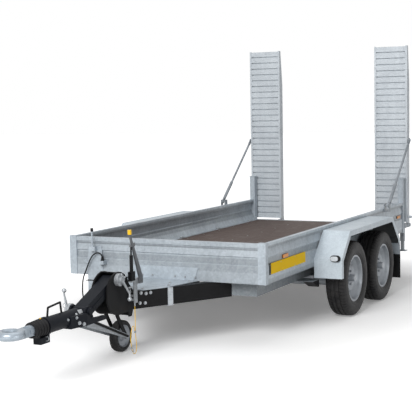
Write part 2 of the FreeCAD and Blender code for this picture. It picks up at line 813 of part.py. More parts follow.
def build_rings():
    x = DECK_HALF_W + LEDGE_STRIP_W / 2
    step = (BODY_L - RING_REAR_BACK - RING_FRONT_Y) / (RING_COUNT - 1)
    rings = []
    for index in range(RING_COUNT):
        y = RING_FRONT_Y + index * step
        plate = box(x - RING_PLATE_W / 2, x + RING_PLATE_W / 2, y - RING_PLATE_L / 2, y + RING_PLATE_L / 2,
                    DECK_TOP_Z, DECK_TOP_Z + RING_PLATE_T)
        ring = Part.makeTorus(RING_R, RING_ROD_R, vec(x, y, DECK_TOP_Z + RING_PLATE_T + RING_ROD_R - LAP), UP)
        rings.append(fuse([plate, ring]))
    keep("lashing_rings", *(rings + [mirror_x(ring) for ring in rings]))


# Chassis

def build_chassis():
    inner = CHASSIS_X - CHASSIS_W / 2
    outer = CHASSIS_X + CHASSIS_W / 2
    rail = long_section([
        (inner, CHASSIS_BOTTOM_Z),
        (inner, CHASSIS_BOTTOM_Z + CHANNEL_T),
        (outer - CHANNEL_T, CHASSIS_BOTTOM_Z + CHANNEL_T),
        (outer - CHANNEL_T, CROSS_BOTTOM_Z - CHANNEL_T),
        (inner, CROSS_BOTTOM_Z - CHANNEL_T),
        (inner, CROSS_BOTTOM_Z),
        (outer, CROSS_BOTTOM_Z),
        (outer, CHASSIS_BOTTOM_Z),
    ], CHASSIS_FRONT_Y, BODY_L)
    gusset = long_section([
        (outer, CROSS_BOTTOM_Z),
        (outer, CHASSIS_BOTTOM_Z),
        (inner - GUSSET_BOTTOM_W, CHASSIS_BOTTOM_Z),
        (inner - GUSSET_TOP_W, CROSS_BOTTOM_Z),
    ], CHASSIS_FRONT_Y, CHASSIS_FRONT_Y + GUSSET_T)
    chock_shelf = box(outer - CHANNEL_T, CHOCK_X1, CHOCK_Y, CHOCK_Y + CHOCK_L,
                      CHASSIS_BOTTOM_Z, CHASSIS_BOTTOM_Z + CHANNEL_T)
    frame = fuse([rail, gusset, chock_shelf])
    keep("chassis_rails", frame, mirror_x(frame))
    wall_inner = BODY_HALF_W - WALL_FLANGE_W - CROSS_END_GAP
    step = (BODY_L - CROSS_FRONT_Y - CROSS_W) / (CROSS_COUNT - 1)
    beams = []
    for index in range(CROSS_COUNT):
        y = CROSS_FRONT_Y + index * step
        beams.append(side_plate([
            (y, CROSS_BOTTOM_Z),
            (y, FLOOR_BOTTOM_Z),
            (y + CROSS_W, FLOOR_BOTTOM_Z),
            (y + CROSS_W, FLOOR_BOTTOM_Z - CHANNEL_T),
            (y + CHANNEL_T, FLOOR_BOTTOM_Z - CHANNEL_T),
            (y + CHANNEL_T, CROSS_BOTTOM_Z + CHANNEL_T),
            (y + CROSS_W, CROSS_BOTTOM_Z + CHANNEL_T),
            (y + CROSS_W, CROSS_BOTTOM_Z),
        ], -wall_inner, wall_inner))
    keep("cross_members", *beams)


def build_rear_beam():
    half = BODY_HALF_W + POST_STANDOFF - REAR_POST_SIDE
    beam_bottom = BOARD_TOP_Z - REAR_BEAM_H
    beam = box(-half, half, BODY_L, BEAM_BACK_Y, beam_bottom, BOARD_TOP_Z)
    hollow = box(-half + CHANNEL_T, half - CHANNEL_T, BODY_L + CHANNEL_T, BEAM_BACK_Y - CHANNEL_T,
                 beam_bottom - CHANNEL_T, BOARD_TOP_Z - CHANNEL_T)
    pieces = [beam.cut(hollow)]
    fittings = []
    for x0 in (RAMP_INNER_X + RAMP_EAR_T + LUG_GAP, LUG_OUTER_X - LUG_T):
        web = box(x0, x0 + LUG_T, BEAM_BACK_Y, RAMP_HINGE_Y, RAMP_HINGE_Z - RAMP_EAR_R, RAMP_HINGE_Z + RAMP_EAR_R)
        eye = cross_rod(x0, x0 + LUG_T, RAMP_HINGE_Y, RAMP_HINGE_Z, RAMP_EAR_R)
        fittings.append(fuse([web, eye]))
    cap_x = RAMP_OUTER_X + LUG_GAP
    fittings.append(cross_rod(RAMP_INNER_X, cap_x, RAMP_HINGE_Y, RAMP_HINGE_Z, RAMP_PIN_R))
    fittings.append(cross_rod(cap_x, cap_x + RAMP_PIN_CAP_T, RAMP_HINGE_Y, RAMP_HINGE_Z, RAMP_PIN_CAP_R))
    pieces += fittings + [mirror_x(fitting) for fitting in fittings]
    keep("rear_beam", fuse(pieces))


def build_props():
    """Square rear props that drop through a sleeve on each rear post."""
    half = PROP_S / 2
    leg_half = PROP_LEG_S / 2
    foot_half = PROP_FOOT_S / 2
    y = BEAM_BACK_Y + half
    top = DECK_TOP_Z - PROP_TOP_DROP
    bottom = top - PROP_SLEEVE_L
    sleeve = box(PROP_X - half, PROP_X + half, y - half, y + half, bottom, top)
    leg = box(PROP_X - leg_half, PROP_X + leg_half, y - leg_half, y + leg_half, PROP_FOOT_Z, bottom)
    foot = box(PROP_X - foot_half, PROP_X + foot_half, y - foot_half, y + foot_half,
               PROP_FOOT_Z, PROP_FOOT_Z + PROP_FOOT_T)
    screw_z = bottom + PROP_SCREW_L
    tip = vec(PROP_X, y + half + PROP_SCREW_L, screw_z)
    screw = rod(vec(PROP_X, y, screw_z), tip, PROP_SCREW_R)
    prop = fuse([sleeve, leg, foot, screw, Part.makeSphere(PROP_BALL_R, tip)])
    keep("rear_props", prop, mirror_x(prop))


# Axles, wheels and mudguards

def axle_stations():
    return {"f": AXLE_FRONT_Y, "r": AXLE_REAR_Y}


def build_axles():
    tube_z = CHASSIS_BOTTOM_Z - AXLE_TUBE_S / 2
    shapes = []
    arm_outer = WHEEL_OUTER_X - TYRE_W - STUB_INNER_GAP
    arm_inner = arm_outer - TRAIL_ARM_T
    stub_end = WHEEL_OUTER_X - HUB_FACE_INSET - RIM_T - STUB_END_GAP
    half = AXLE_TUBE_S / 2
    inside = half - AXLE_WALL
    reach = AXLE_TUBE_X - AXLE_TUBE_S
    for y in axle_stations().values():
        tube_y = y - TRAIL_ARM_L
        tube = box(-AXLE_TUBE_X, AXLE_TUBE_X, tube_y - half, tube_y + half, tube_z - half, tube_z + half)
        bore = box(-reach, reach, tube_y - inside, tube_y + inside, tube_z - inside, tube_z + inside)
        rise = math.atan2(WHEEL_R - tube_z, y - tube_y)
        across_y = -math.sin(rise) * TRAIL_ARM_R
        across_z = math.cos(rise) * TRAIL_ARM_R
        side = [
            cross_rod(AXLE_TUBE_X, arm_outer, tube_y, tube_z, TRAIL_ARM_R),
            cross_rod(arm_inner, arm_outer, y, WHEEL_R, TRAIL_ARM_R),
            cross_rod(arm_outer - LAP, stub_end, y, WHEEL_R, HUB_BORE_R - STUB_CLEAR),
            side_plate([
                (tube_y + across_y, tube_z + across_z),
                (y + across_y, WHEEL_R + across_z),
                (y - across_y, WHEEL_R - across_z),
                (tube_y - across_y, tube_z - across_z),
            ], arm_inner, arm_outer),
        ]
        shapes.append(fuse([tube.cut(bore)] + side + [mirror_x(shape) for shape in side]))
    keep("axles", *shapes)


def tyre(y, z, outer_x, width, radius, bead_r, sides):
    """A tyre of flat sides: it rests on one of them and takes few facets."""
    shoulder = width * TYRE_SHOULDER
    tread_edge = width * TYRE_TREAD_EDGE
    tuck = width * TYRE_TUCK
    shoulder_r = radius * (1 - TYRE_CROWN)
    bulge_r = bead_r + (radius - bead_r) * TYRE_BULGE
    inner_x = outer_x - width
    outline = [
        (inner_x + tuck, bead_r + SEAT_GAP),
        (inner_x, bulge_r),
        (inner_x + shoulder, shoulder_r),
        (inner_x + tread_edge, radius),
        (outer_x - tread_edge, radius),
        (outer_x - shoulder, shoulder_r),
        (outer_x, bulge_r),
        (outer_x - tuck, bead_r + SEAT_GAP),
    ]
    return faceted_x(outline, y, z, sides)


def build_wheels():
    for key, y in axle_stations().items():
        rubber = tyre(y, WHEEL_R, WHEEL_OUTER_X, TYRE_W, WHEEL_R, RIM_R, TYRE_SIDES)
        metal = wheel_rim(y)
        for side, sign in (("l", 1), ("r", -1)):
            keep("tyre_" + key + side, rubber if sign > 0 else mirror_x(rubber))
            keep("rim_" + key + side, metal if sign > 0 else mirror_x(metal))


def ring_of_points(count, radius, y, z):
    angles = [2 * math.pi * index / count for index in range(count)]
    return [(y + radius * math.cos(angle), z + radius * math.sin(angle)) for angle in angles]


def wheel_rim(y):
    lip = WHEEL_OUTER_X - (TYRE_W - RIM_W) / 2
    inner_lip = lip - RIM_W
    hub_inner = WHEEL_OUTER_X - TYRE_W
    hub_face = WHEEL_OUTER_X - HUB_FACE_INSET
    cap = WHEEL_OUTER_X - HUB_CAP_INSET
    crest = lip - CREST_INSET
    valley = lip - VALLEY_INSET
    bed = lip - BED_INSET
    body = turned_x([
        (inner_lip, RIM_R - RIM_T),
        (inner_lip, RIM_R),
        (lip, RIM_R),
        (lip, RIM_R - RIM_LIP_H),
        (bed, RIM_R - RIM_BED_DROP),
        (valley, VALLEY_R),
        (crest, CREST_R),
        (hub_face, HUB_FACE_R),
        (hub_face, HUB_CAP_R),
        (cap, HUB_CAP_R - RIM_T),
        (cap, 0.0),
        (hub_face - RIM_T, 0.0),
        (hub_face - RIM_T, HUB_FACE_R),
        (crest - RIM_T, CREST_R),
        (valley - RIM_T, VALLEY_R),
        (bed - 2 * RIM_T, RIM_R - RIM_T),
    ], y, WHEEL_R)
    bore = cross_rod(hub_inner - LAP, hub_face - RIM_T, y, WHEEL_R, HUB_BORE_R)
    pieces = [body, cross_rod(hub_inner, hub_face, y, WHEEL_R, HUB_SLEEVE_R).cut(bore)]
    for nut_y, nut_z in ring_of_points(WHEEL_NUT_COUNT, WHEEL_NUT_CIRCLE_R, y, WHEEL_R):
        hexagon = ring_of_points(HEX_SIDES, WHEEL_NUT_R, nut_y, nut_z)
        pieces.append(side_plate(hexagon, hub_face - LAP, hub_face + WHEEL_NUT_H))
    rim = fuse(pieces).cut(bore)
    for hole_y, hole_z in ring_of_points(HAND_HOLE_COUNT, (VALLEY_R + CREST_R) / 2, y, WHEEL_R):
        rim = rim.cut(cross_rod(valley - 2 * RIM_T, lip, hole_y, hole_z, HAND_HOLE_R))
    return rim


def guard_outline():
    """The mudguard's outer line as (y, z) corners, front to rear."""
    return [
        (GUARD_FRONT_Y, GUARD_FRONT_Z),
        (GUARD_FRONT_Y, GUARD_KNEE_Z),
        (GUARD_TOP_FRONT_Y, GUARD_TOP_Z),
        (GUARD_TOP_REAR_Y, GUARD_TOP_Z),
        (GUARD_REAR_KNEE_Y, GUARD_REAR_Z),
        (GUARD_TAIL_Y, GUARD_TAIL_Z),
    ]


def inset_line(points, distance):
    """The open line of corners moved inwards, to its right-hand side."""
    normals = []
    for (y0, z0), (y1, z1) in zip(points, points[1:]):
        length = math.hypot(y1 - y0, z1 - z0)
        normals.append(((z1 - z0) / length, -(y1 - y0) / length))
    moved = []
    for index, (y, z) in enumerate(points):
        before = normals[max(index - 1, 0)]
        after = normals[min(index, len(normals) - 1)]
        total_y = before[0] + after[0]
        total_z = before[1] + after[1]
        scale = 2 * distance / (total_y ** 2 + total_z ** 2)
        moved.append((y + total_y * scale, z + total_z * scale))
    return moved


def build_mudguards():
    outer = guard_outline()
    inner = inset_line(outer, GUARD_T)
    wall_x = BODY_HALF_W - FOOT_INSET
    sheet = side_plate(outer + inner[::-1], wall_x, GUARD_OUTER_X)
    skirt_line = inset_line(outer, GUARD_SKIRT)
    skirt = side_plate(outer + skirt_line[::-1], GUARD_OUTER_X - GUARD_T, GUARD_OUTER_X)
    guard = fuse([sheet, skirt]).cut(side_wall()[0])
    keep("mudguard_left", guard)
    keep("mudguard_right", mirror_x(guard))
    flap = box(FLAP_INNER_X, FLAP_OUTER_X, FLAP_Y, FLAP_Y + FLAP_T, FLAP_BOTTOM_Z, FLAP_TOP_Z + FLAP_LAP)
    keep("mudflaps", flap, mirror_x(flap))
    hanger_y = FLAP_Y - FLAP_BRACKET_T
    hanger = long_section([
        (wall_x, FLAP_TOP_Z),
        (FLAP_OUTER_X, FLAP_TOP_Z),
        (FLAP_OUTER_X, FLAP_BRACKET_TOP_Z - FLAP_BRACKET_CORNER),
        (FLAP_OUTER_X - FLAP_BRACKET_CORNER, FLAP_BRACKET_TOP_Z),
        (wall_x, FLAP_BRACKET_TOP_Z),
    ], hanger_y, FLAP_Y)
    side_leaf = box(wall_x, wall_x + FLAP_BRACKET_T, hanger_y, FLAP_Y + FLAP_LEAF_L,
                    WALL_BOTTOM_Z, FLAP_BRACKET_TOP_Z)
    bracket = fuse([hanger, side_leaf])
    keep("flap_brackets", bracket, mirror_x(bracket))


# Drawbar

def arm_axes():
    run_y = HEAD_PIVOT_Y - ARM_PIVOT_Y
    run_z = HEAD_PIVOT_Z - ARM_PIVOT_Z
    length = math.hypot(run_y, run_z)
    return run_y / length, run_z / length, length


def along_arm(distance, rise):
    """A point (y, z) at a distance along the arm from the hub pivot and a rise above its line."""
    dir_y, dir_z, _ = arm_axes()
    return ARM_PIVOT_Y + dir_y * distance + dir_z * rise, ARM_PIVOT_Z + dir_z * distance - dir_y * rise


def build_hub():
    disc = cross_rod(HUB_X, HUB_FACE_X, HUB_DISC_Y, HUB_DISC_Z, HUB_R)
    tail = side_plate([
        (HUB_DISC_Y, HUB_DISC_Z + HUB_R),
        (HUB_DISC_Y, HUB_BOTTOM_Z),
        (HUB_REAR_Y, HUB_BOTTOM_Z),
        (HUB_REAR_Y, HUB_DISC_Z),
        (HUB_REAR_Y - HUB_SHOULDER, HUB_DISC_Z + HUB_SHOULDER),
    ], HUB_X, HUB_FACE_X)
    plate = fuse([disc, tail])
    back = box(-HUB_FACE_X, HUB_FACE_X, HUB_REAR_Y - HUB_BACK_T, HUB_REAR_Y, HUB_BOTTOM_Z, HUB_DISC_Z)
    pin = cross_rod(-HUB_FACE_X, HUB_FACE_X, ARM_PIVOT_Y, ARM_PIVOT_Z, PIVOT_R - PIVOT_CLEAR)
    pin_head = cross_rod(-HUB_FACE_X - PIN_HEAD_T, -HUB_FACE_X, ARM_PIVOT_Y, ARM_PIVOT_Z, PIN_HEAD_R)
    hood_outer = cross_rod(-HUB_FACE_X, HUB_FACE_X, ARM_PIVOT_Y, ARM_PIVOT_Z, HOOD_R)
    hood_inner = cross_rod(-HUB_FACE_X, HUB_FACE_X, ARM_PIVOT_Y, ARM_PIVOT_Z, HOOD_R - HOOD_T)
    reach = HOOD_R * 2
    start = math.radians(HOOD_START_DEG)
    end = math.radians(HOOD_END_DEG)
    middle = (start + end) / 2
    wedge = side_plate([
        (ARM_PIVOT_Y, ARM_PIVOT_Z),
        (ARM_PIVOT_Y + reach * math.cos(start), ARM_PIVOT_Z + reach * math.sin(start)),
        (ARM_PIVOT_Y + reach * 2 * math.cos(middle), ARM_PIVOT_Z + reach * 2 * math.sin(middle)),
        (ARM_PIVOT_Y + reach * math.cos(end), ARM_PIVOT_Z + reach * math.sin(end)),
    ], -HUB_FACE_X, HUB_FACE_X)
    hood = hood_outer.cut(hood_inner).common(wedge)
    pin_start = JOCKEY_X - FORK_GAP - 2 * FORK_T
    fork_pin = cross_rod(pin_start, HUB_FACE_X, FORK_PIVOT_Y, FORK_PIVOT_Z, FORK_PIN_R - PIVOT_CLEAR)
    hanger_outline = [
        (FORK_PIVOT_Y - FORK_W, HUB_BOTTOM_Z),
        (FORK_PIVOT_Y - FORK_W / 2, FORK_PIVOT_Z - FORK_W / 2),
        (FORK_PIVOT_Y + FORK_W / 2, FORK_PIVOT_Z - FORK_W / 2),
        (FORK_PIVOT_Y + FORK_W, HUB_BOTTOM_Z),
    ]
    hangers = [
        side_plate(hanger_outline, -HUB_X + HUB_T, -HUB_X + 2 * HUB_T),
        side_plate(hanger_outline, HUB_X, HUB_FACE_X),
    ]
    hanger_floor = box(-HUB_X, -HUB_X + 2 * HUB_T, FORK_PIVOT_Y - FORK_W, HUB_REAR_Y,
                       HUB_BOTTOM_Z, HUB_BOTTOM_Z + CHANNEL_T)
    keep("drawbar_hub", fuse([plate, mirror_x(plate), back, pin, pin_head, hood, fork_pin, hanger_floor] + hangers))


def toothed_pair(y, z):
    """Two toothed discs in mesh on the left side of a drawbar joint, as one clamped pair."""
    start = HUB_FACE_X
    split = start + TOOTH_DISC_T
    inner = cross_rod(start, split, y, z, TOOTH_DISC_R)
    outer = cross_rod(split + TOOTH_DEPTH, start + 2 * TOOTH_DISC_T, y, z, TOOTH_DISC_R)
    core = cross_rod(split, split + TOOTH_DEPTH, y, z, TOOTH_DISC_R * TOOTH_CORE)
    teeth = []
    tooth_w = math.pi * TOOTH_DISC_R / TOOTH_COUNT * TOOTH_FILL
    for index in range(TOOTH_COUNT):
        tooth = box(split, split + TOOTH_DEPTH, y - tooth_w / 2, y + tooth_w / 2,
                    z + TOOTH_DISC_R * TOOTH_ROOT, z + TOOTH_DISC_R - LAP)
        tooth.rotate(vec(0, y, z), vec(1, 0, 0), 360.0 * index / TOOTH_COUNT)
        teeth.append(tooth)
    return fuse([inner, outer, core] + teeth)


def clamp_lever(y, z, bend, tip):
    """A nut with a tapered lever on the left side; bend and tip are (y, z) points."""
    start = HUB_FACE_X + 2 * TOOTH_DISC_T
    x = start + LEVER_NUT_T / 2
    nut = cross_rod(start, start + LEVER_NUT_T, y, z, LEVER_NUT_R)
    elbow = vec(x + LEVER_LEAN, *bend)
    ball = vec(x + LEVER_LEAN, *tip)
    shaft = tapered_rod(vec(x, y, z), elbow, LEVER_ROOT_R, LEVER_ROD_R)
    return fuse([nut, shaft, Part.makeSphere(LEVER_ROD_R, elbow), rod(elbow, ball, LEVER_ROD_R),
                 Part.makeSphere(LEVER_BALL_R, ball)])


def build_joints():
    bend = (ARM_PIVOT_Y + HUB_LEVER_BACK, ARM_PIVOT_Z - HUB_LEVER_DROP)
    tip = (bend[0], bend[1] - LEVER_TIP_L)
    lever = clamp_lever(ARM_PIVOT_Y, ARM_PIVOT_Z, bend, tip)
    keep("hub_clamp", fuse([toothed_pair(ARM_PIVOT_Y, ARM_PIVOT_Z), lever]))
    bend = (HEAD_PIVOT_Y - HEAD_LEVER_AHEAD, HEAD_PIVOT_Z + HEAD_LEVER_TOP)
    tip = (bend[0] - HEAD_LEVER_TIP_AHEAD, bend[1] + LEVER_TIP_L)
    lever = clamp_lever(HEAD_PIVOT_Y, HEAD_PIVOT_Z, bend, tip)
    keep("head_clamp", mirror_x(fuse([toothed_pair(HEAD_PIVOT_Y, HEAD_PIVOT_Z), lever])))


def arm_plate(start, end, low, high, x0, x1):
    """A plate between two distances along the arm and two rises above its line."""
    corners = [along_arm(start, high), along_arm(end, high), along_arm(end, low), along_arm(start, low)]
    return side_plate(corners, x0, x1)


def build_arm():
    _, _, length = arm_axes()
    body = arm_plate(0.0, length, -ARM_BELOW, ARM_ABOVE, -ARM_HALF_W, ARM_HALF_W)
    inside = ARM_HALF_W - ARM_WALL
    end_solid = ARM_END_R + ARM_WALL
    hollow = arm_plate(end_solid, length - end_solid, -ARM_BELOW - LAP, ARM_ABOVE - ARM_WALL, -inside, inside)
    bar = arm_plate(ARM_BAR_START, ARM_BAR_END, ARM_BAR_LOW, ARM_BAR_LOW + ARM_BAR_W,
                    ARM_HALF_W, ARM_HALF_W + ARM_BAR_T)
    ends = []
    pivots = ((ARM_PIVOT_Y, ARM_PIVOT_Z), (HEAD_PIVOT_Y, HEAD_PIVOT_Z))
    for y, z in pivots:
        ends.append(cross_rod(-ARM_HALF_W, ARM_HALF_W, y, z, ARM_BOSS_R))
    arm = fuse([body, bar] + ends).cut(hollow)
    for y, z in pivots:
        arm = arm.cut(cross_rod(-ARM_HALF_W - LAP, ARM_HALF_W + LAP, y, z, PIVOT_R))
    keep("drawbar_arm", arm)


def build_head():
    cheek_outer = HEAD_CHEEK_X + HEAD_CHEEK_T
    cheek = side_plate([
        (HEAD_WEB_Y, HEAD_TOP_Z + HEAD_CHEEK_LIP),
        (HEAD_PIVOT_Y - HEAD_CHEEK_FLAT, HEAD_PIVOT_Z + HEAD_CHEEK_RISE),
        (HEAD_PIVOT_Y + HEAD_CHEEK_FLAT, HEAD_PIVOT_Z + HEAD_CHEEK_RISE),
        (HEAD_PIVOT_Y + HEAD_CHEEK_SLOPE, HEAD_REAR_TOP_Z),
        (HEAD_REAR_Y, HEAD_REAR_TOP_Z),
        (HEAD_REAR_Y, HEAD_BOTTOM_Z),
        (HEAD_WEB_Y, HEAD_BOTTOM_Z),
    ], HEAD_CHEEK_X, cheek_outer)
    flange = side_plate([
        (HEAD_WEB_Y, HEAD_TOP_Z),
        (HEAD_PIVOT_Y, HEAD_REAR_TOP_Z + HEAD_FLANGE_RISE),
        (HEAD_REAR_Y, HEAD_REAR_TOP_Z),
        (HEAD_REAR_Y, HEAD_BOTTOM_Z),
        (HEAD_WEB_Y, HEAD_BOTTOM_Z),
    ], cheek_outer, HEAD_FLANGE_X)
    nose = flat_plate([
        (-cheek_outer, HEAD_WEB_Y),
        (HEAD_FLANGE_X, HEAD_WEB_Y),
        (TUBE_R + HEAD_NOSE_LIP, HEAD_NOSE_Y),
        (-TUBE_R - HEAD_NOSE_LIP, HEAD_NOSE_Y),
    ], HEAD_BOTTOM_Z, HEAD_TOP_Z)
    tube = rod(vec(0, TUBE_FRONT_Y, TUBE_Z), vec(0, HEAD_WEB_Y, TUBE_Z), TUBE_R)
    collar = rod(vec(0, TUBE_FRONT_Y, TUBE_Z), vec(0, TUBE_FRONT_Y + COLLAR_L, TUBE_Z), COLLAR_R)
    pin = cross_rod(-cheek_outer, cheek_outer, HEAD_PIVOT_Y, HEAD_PIVOT_Z, PIVOT_R - PIVOT_CLEAR)
    pin_head = cross_rod(cheek_outer, cheek_outer + PIN_HEAD_T, HEAD_PIVOT_Y, HEAD_PIVOT_Z, PIN_HEAD_R)
    block_top = TUBE_Z - COLLAR_R + COLLAR_L / 4
    block_half = NOSE_BLOCK_W / 2
    block = box(-block_half, block_half, TUBE_FRONT_Y - NOSE_BLOCK_L, TUBE_FRONT_Y + COLLAR_L,
                block_top - NOSE_BLOCK_H, TUBE_Z - BELLOWS_R - NOSE_BLOCK_GAP)
    block_neck = box(-block_half, block_half, TUBE_FRONT_Y, TUBE_FRONT_Y + COLLAR_L,
                     block_top - NOSE_BLOCK_H, block_top)
    tie_reach = TIE_GAP + 2 * TIE_T
    tie_pin = cross_rod(JOCKEY_X - tie_reach, JOCKEY_X + tie_reach, TIE_PIVOT_Y, TIE_PIVOT_Z,
                        TIE_PIN_R - PIVOT_CLEAR)
    tie_ear = side_plate([
        (TIE_PIVOT_Y - TIE_FRONT_H, HEAD_BOTTOM_Z),
        (TIE_PIVOT_Y - TIE_PIN_R * 2, TIE_PIVOT_Z - TIE_PIN_R * 2),
        (TIE_PIVOT_Y + TIE_PIN_R * 2, TIE_PIVOT_Z - TIE_PIN_R * 2),
        (TIE_PIVOT_Y + TIE_PIN_R * 2, HEAD_BOTTOM_Z + TIE_PIN_R),
    ], -cheek_outer, -HEAD_CHEEK_X)
    keep("drawbar_head", fuse([cheek, mirror_x(cheek), flange, nose, tube, collar, block, block_neck, pin,
                               pin_head, tie_pin, tie_ear]))
    pitch = BELLOWS_L / BELLOWS_RIBS
    outline = [(BELLOWS_FRONT_Y, 0.0), (BELLOWS_FRONT_Y, BELLOWS_ROOT_R)]
    for index in range(BELLOWS_RIBS):
        start = BELLOWS_FRONT_Y + index * pitch
        crest_r = BELLOWS_R - (BELLOWS_RIBS - index) * BELLOWS_STEP
        outline += [(start + pitch * RIB_START, crest_r), (start + pitch * RIB_END, crest_r),
                    (start + pitch, BELLOWS_ROOT_R)]
    outline.append((TUBE_FRONT_Y, 0.0))
    keep("bellows", turned_y(outline, 0, TUBE_Z))


def build_eye():
    ring = Part.makeTorus(EYE_RING_R, EYE_WIRE_R, vec(0, EYE_Y, EYE_Z), UP)
    half_w = NECK_W / 2
    half_h = NECK_H / 2
    neck = box(-half_w, half_w, EYE_Y + EYE_RING_R, BELLOWS_FRONT_Y, TUBE_Z - half_h, TUBE_Z + half_h)
    collar = rod(vec(0, BELLOWS_FRONT_Y - NECK_COLLAR_L, TUBE_Z), vec(0, BELLOWS_FRONT_Y, TUBE_Z), NECK_COLLAR_R)
    land = Part.makeCylinder(EYE_BORE_R + EYE_WIRE_R, EYE_WIRE_R, vec(0, EYE_Y, EYE_Z - EYE_WIRE_R / 2), UP)
    bore = Part.makeCylinder(EYE_BORE_R, EYE_WIRE_R * 4, vec(0, EYE_Y, EYE_Z - EYE_WIRE_R * 2), UP)
    keep("tow_eye", fuse([ring, neck, collar, land]).cut(bore))
    top = TUBE_Z + TUBE_R - HANDLE_SINK
    handle = bent_rod([
        vec(0, HANDLE_FRONT_Y, top),
        vec(0, HANDLE_FRONT_Y + HANDLE_LEAN, top + HANDLE_RISE - HANDLE_LEAN),
        vec(0, HANDLE_REAR_Y - HANDLE_LEAN, top + HANDLE_RISE),
        vec(0, HANDLE_REAR_Y, top),
    ], HANDLE_ROD_R)
    keep("lift_handle", handle.cut(rod(vec(0, TUBE_FRONT_Y, TUBE_Z), vec(0, HEAD_WEB_Y, TUBE_Z), TUBE_R)))


def beam_slope():
    return (BEAM_REAR_X - HUB_FACE_X) / (BEAM_KNEE_Y - HUB_REAR_Y)


def beam_face_x(y):
    """The left beam's outer face at a station."""
    return HUB_FACE_X + beam_slope() * (y - HUB_REAR_Y)


def build_beams():
    slope = beam_slope()
    slant = math.hypot(1, slope)
    across = BEAM_W * slant
    skin = BEAM_WALL * slant
    rear_x = beam_face_x(CHASSIS_FRONT_Y)
    start_x = max(HUB_FACE_X - across, CROSS_END_GAP)
    beam = flat_plate([
        (HUB_FACE_X, HUB_REAR_Y),
        (rear_x, CHASSIS_FRONT_Y),
        (rear_x - across, CHASSIS_FRONT_Y),
        (start_x, HUB_REAR_Y),
    ], BEAM_BOTTOM_Z, CROSS_BOTTOM_Z)
    shift = slope * BEAM_WALL
    hollow = flat_plate([
        (HUB_FACE_X - skin + shift, HUB_REAR_Y + BEAM_WALL),
        (rear_x - skin, CHASSIS_FRONT_Y),
        (rear_x - across + skin, CHASSIS_FRONT_Y),
        (start_x + skin + shift, HUB_REAR_Y + BEAM_WALL),
    ], BEAM_BOTTOM_Z + BEAM_WALL, CROSS_BOTTOM_Z - BEAM_WALL)
    beam = beam.cut(hollow)
    outward = vec(1, -slope, 0).normalize()
    root = vec(beam_face_x(GLAND_Y), GLAND_Y, GLAND_Z)
    gland = rod(root - outward * LAP, root + outward * GLAND_L, GLAND_R)
    keep("drawbar_beams", beam, mirror_x(fuse([beam, gland])))
    front = STRAP_Y - STRAP_W / 2
    rear = STRAP_Y + STRAP_W / 2
    front_x = beam_face_x(front)
    rear_x = beam_face_x(rear)
    side = flat_plate([
        (front_x, front),
        (rear_x, rear),
        (rear_x + STRAP_T, rear),
        (front_x + STRAP_T, front),
    ], BEAM_BOTTOM_Z - STRAP_T, CROSS_BOTTOM_Z)
    under = flat_plate([
        (front_x, front),
        (rear_x, rear),
        (rear_x - across, rear),
        (front_x - across, front),
    ], BEAM_BOTTOM_Z - STRAP_T, BEAM_BOTTOM_Z)
    strap = fuse([side, under])
    keep("beam_straps", strap, mirror_x(strap))


def build_gusset():
    corner_x = GUSSET_PLATE_X - GUSSET_CORNER
    foot_x = GUSSET_PLATE_X - 2 * GUSSET_CORNER
    plate = long_section([
        (-GUSSET_PLATE_X, FOOT_Z - GUSSET_PLATE_DROP),
        (GUSSET_PLATE_X, FOOT_Z - GUSSET_PLATE_DROP),
        (corner_x, WALL_BOTTOM_Z + GUSSET_CORNER),
        (foot_x, WALL_BOTTOM_Z),
        (-foot_x, WALL_BOTTOM_Z),
        (-corner_x, WALL_BOTTOM_Z + GUSSET_CORNER),
    ], FOOT_INSET - GUSSET_T, FOOT_INSET)
    shelf = flat_plate([
        (-foot_x, FOOT_INSET),
        (foot_x, FOOT_INSET),
        (GUSSET_SHELF_X, -GUSSET_SHELF_L),
        (-GUSSET_SHELF_X, -GUSSET_SHELF_L),
    ], WALL_BOTTOM_Z, WALL_BOTTOM_Z + GUSSET_T)
    keep("front_gusset", fuse([plate, shelf]))


# Jockey wheel

def slanted_bar(y0, z0, y1, z1, start_w, end_w, x0, x1):
    """A flat bar between two (y, z) points, with its width at each, from x0 to x1."""
    length = math.hypot(y1 - y0, z1 - z0)
    side_y = -(z1 - z0) / length / 2
    side_z = (y1 - y0) / length / 2
    return side_plate([
        (y0 + side_y * start_w, z0 + side_z * start_w),
        (y1 + side_y * end_w, z1 + side_z * end_w),
        (y1 - side_y * end_w, z1 - side_z * end_w),
        (y0 - side_y * start_w, z0 - side_z * start_w),
    ], x0, x1)


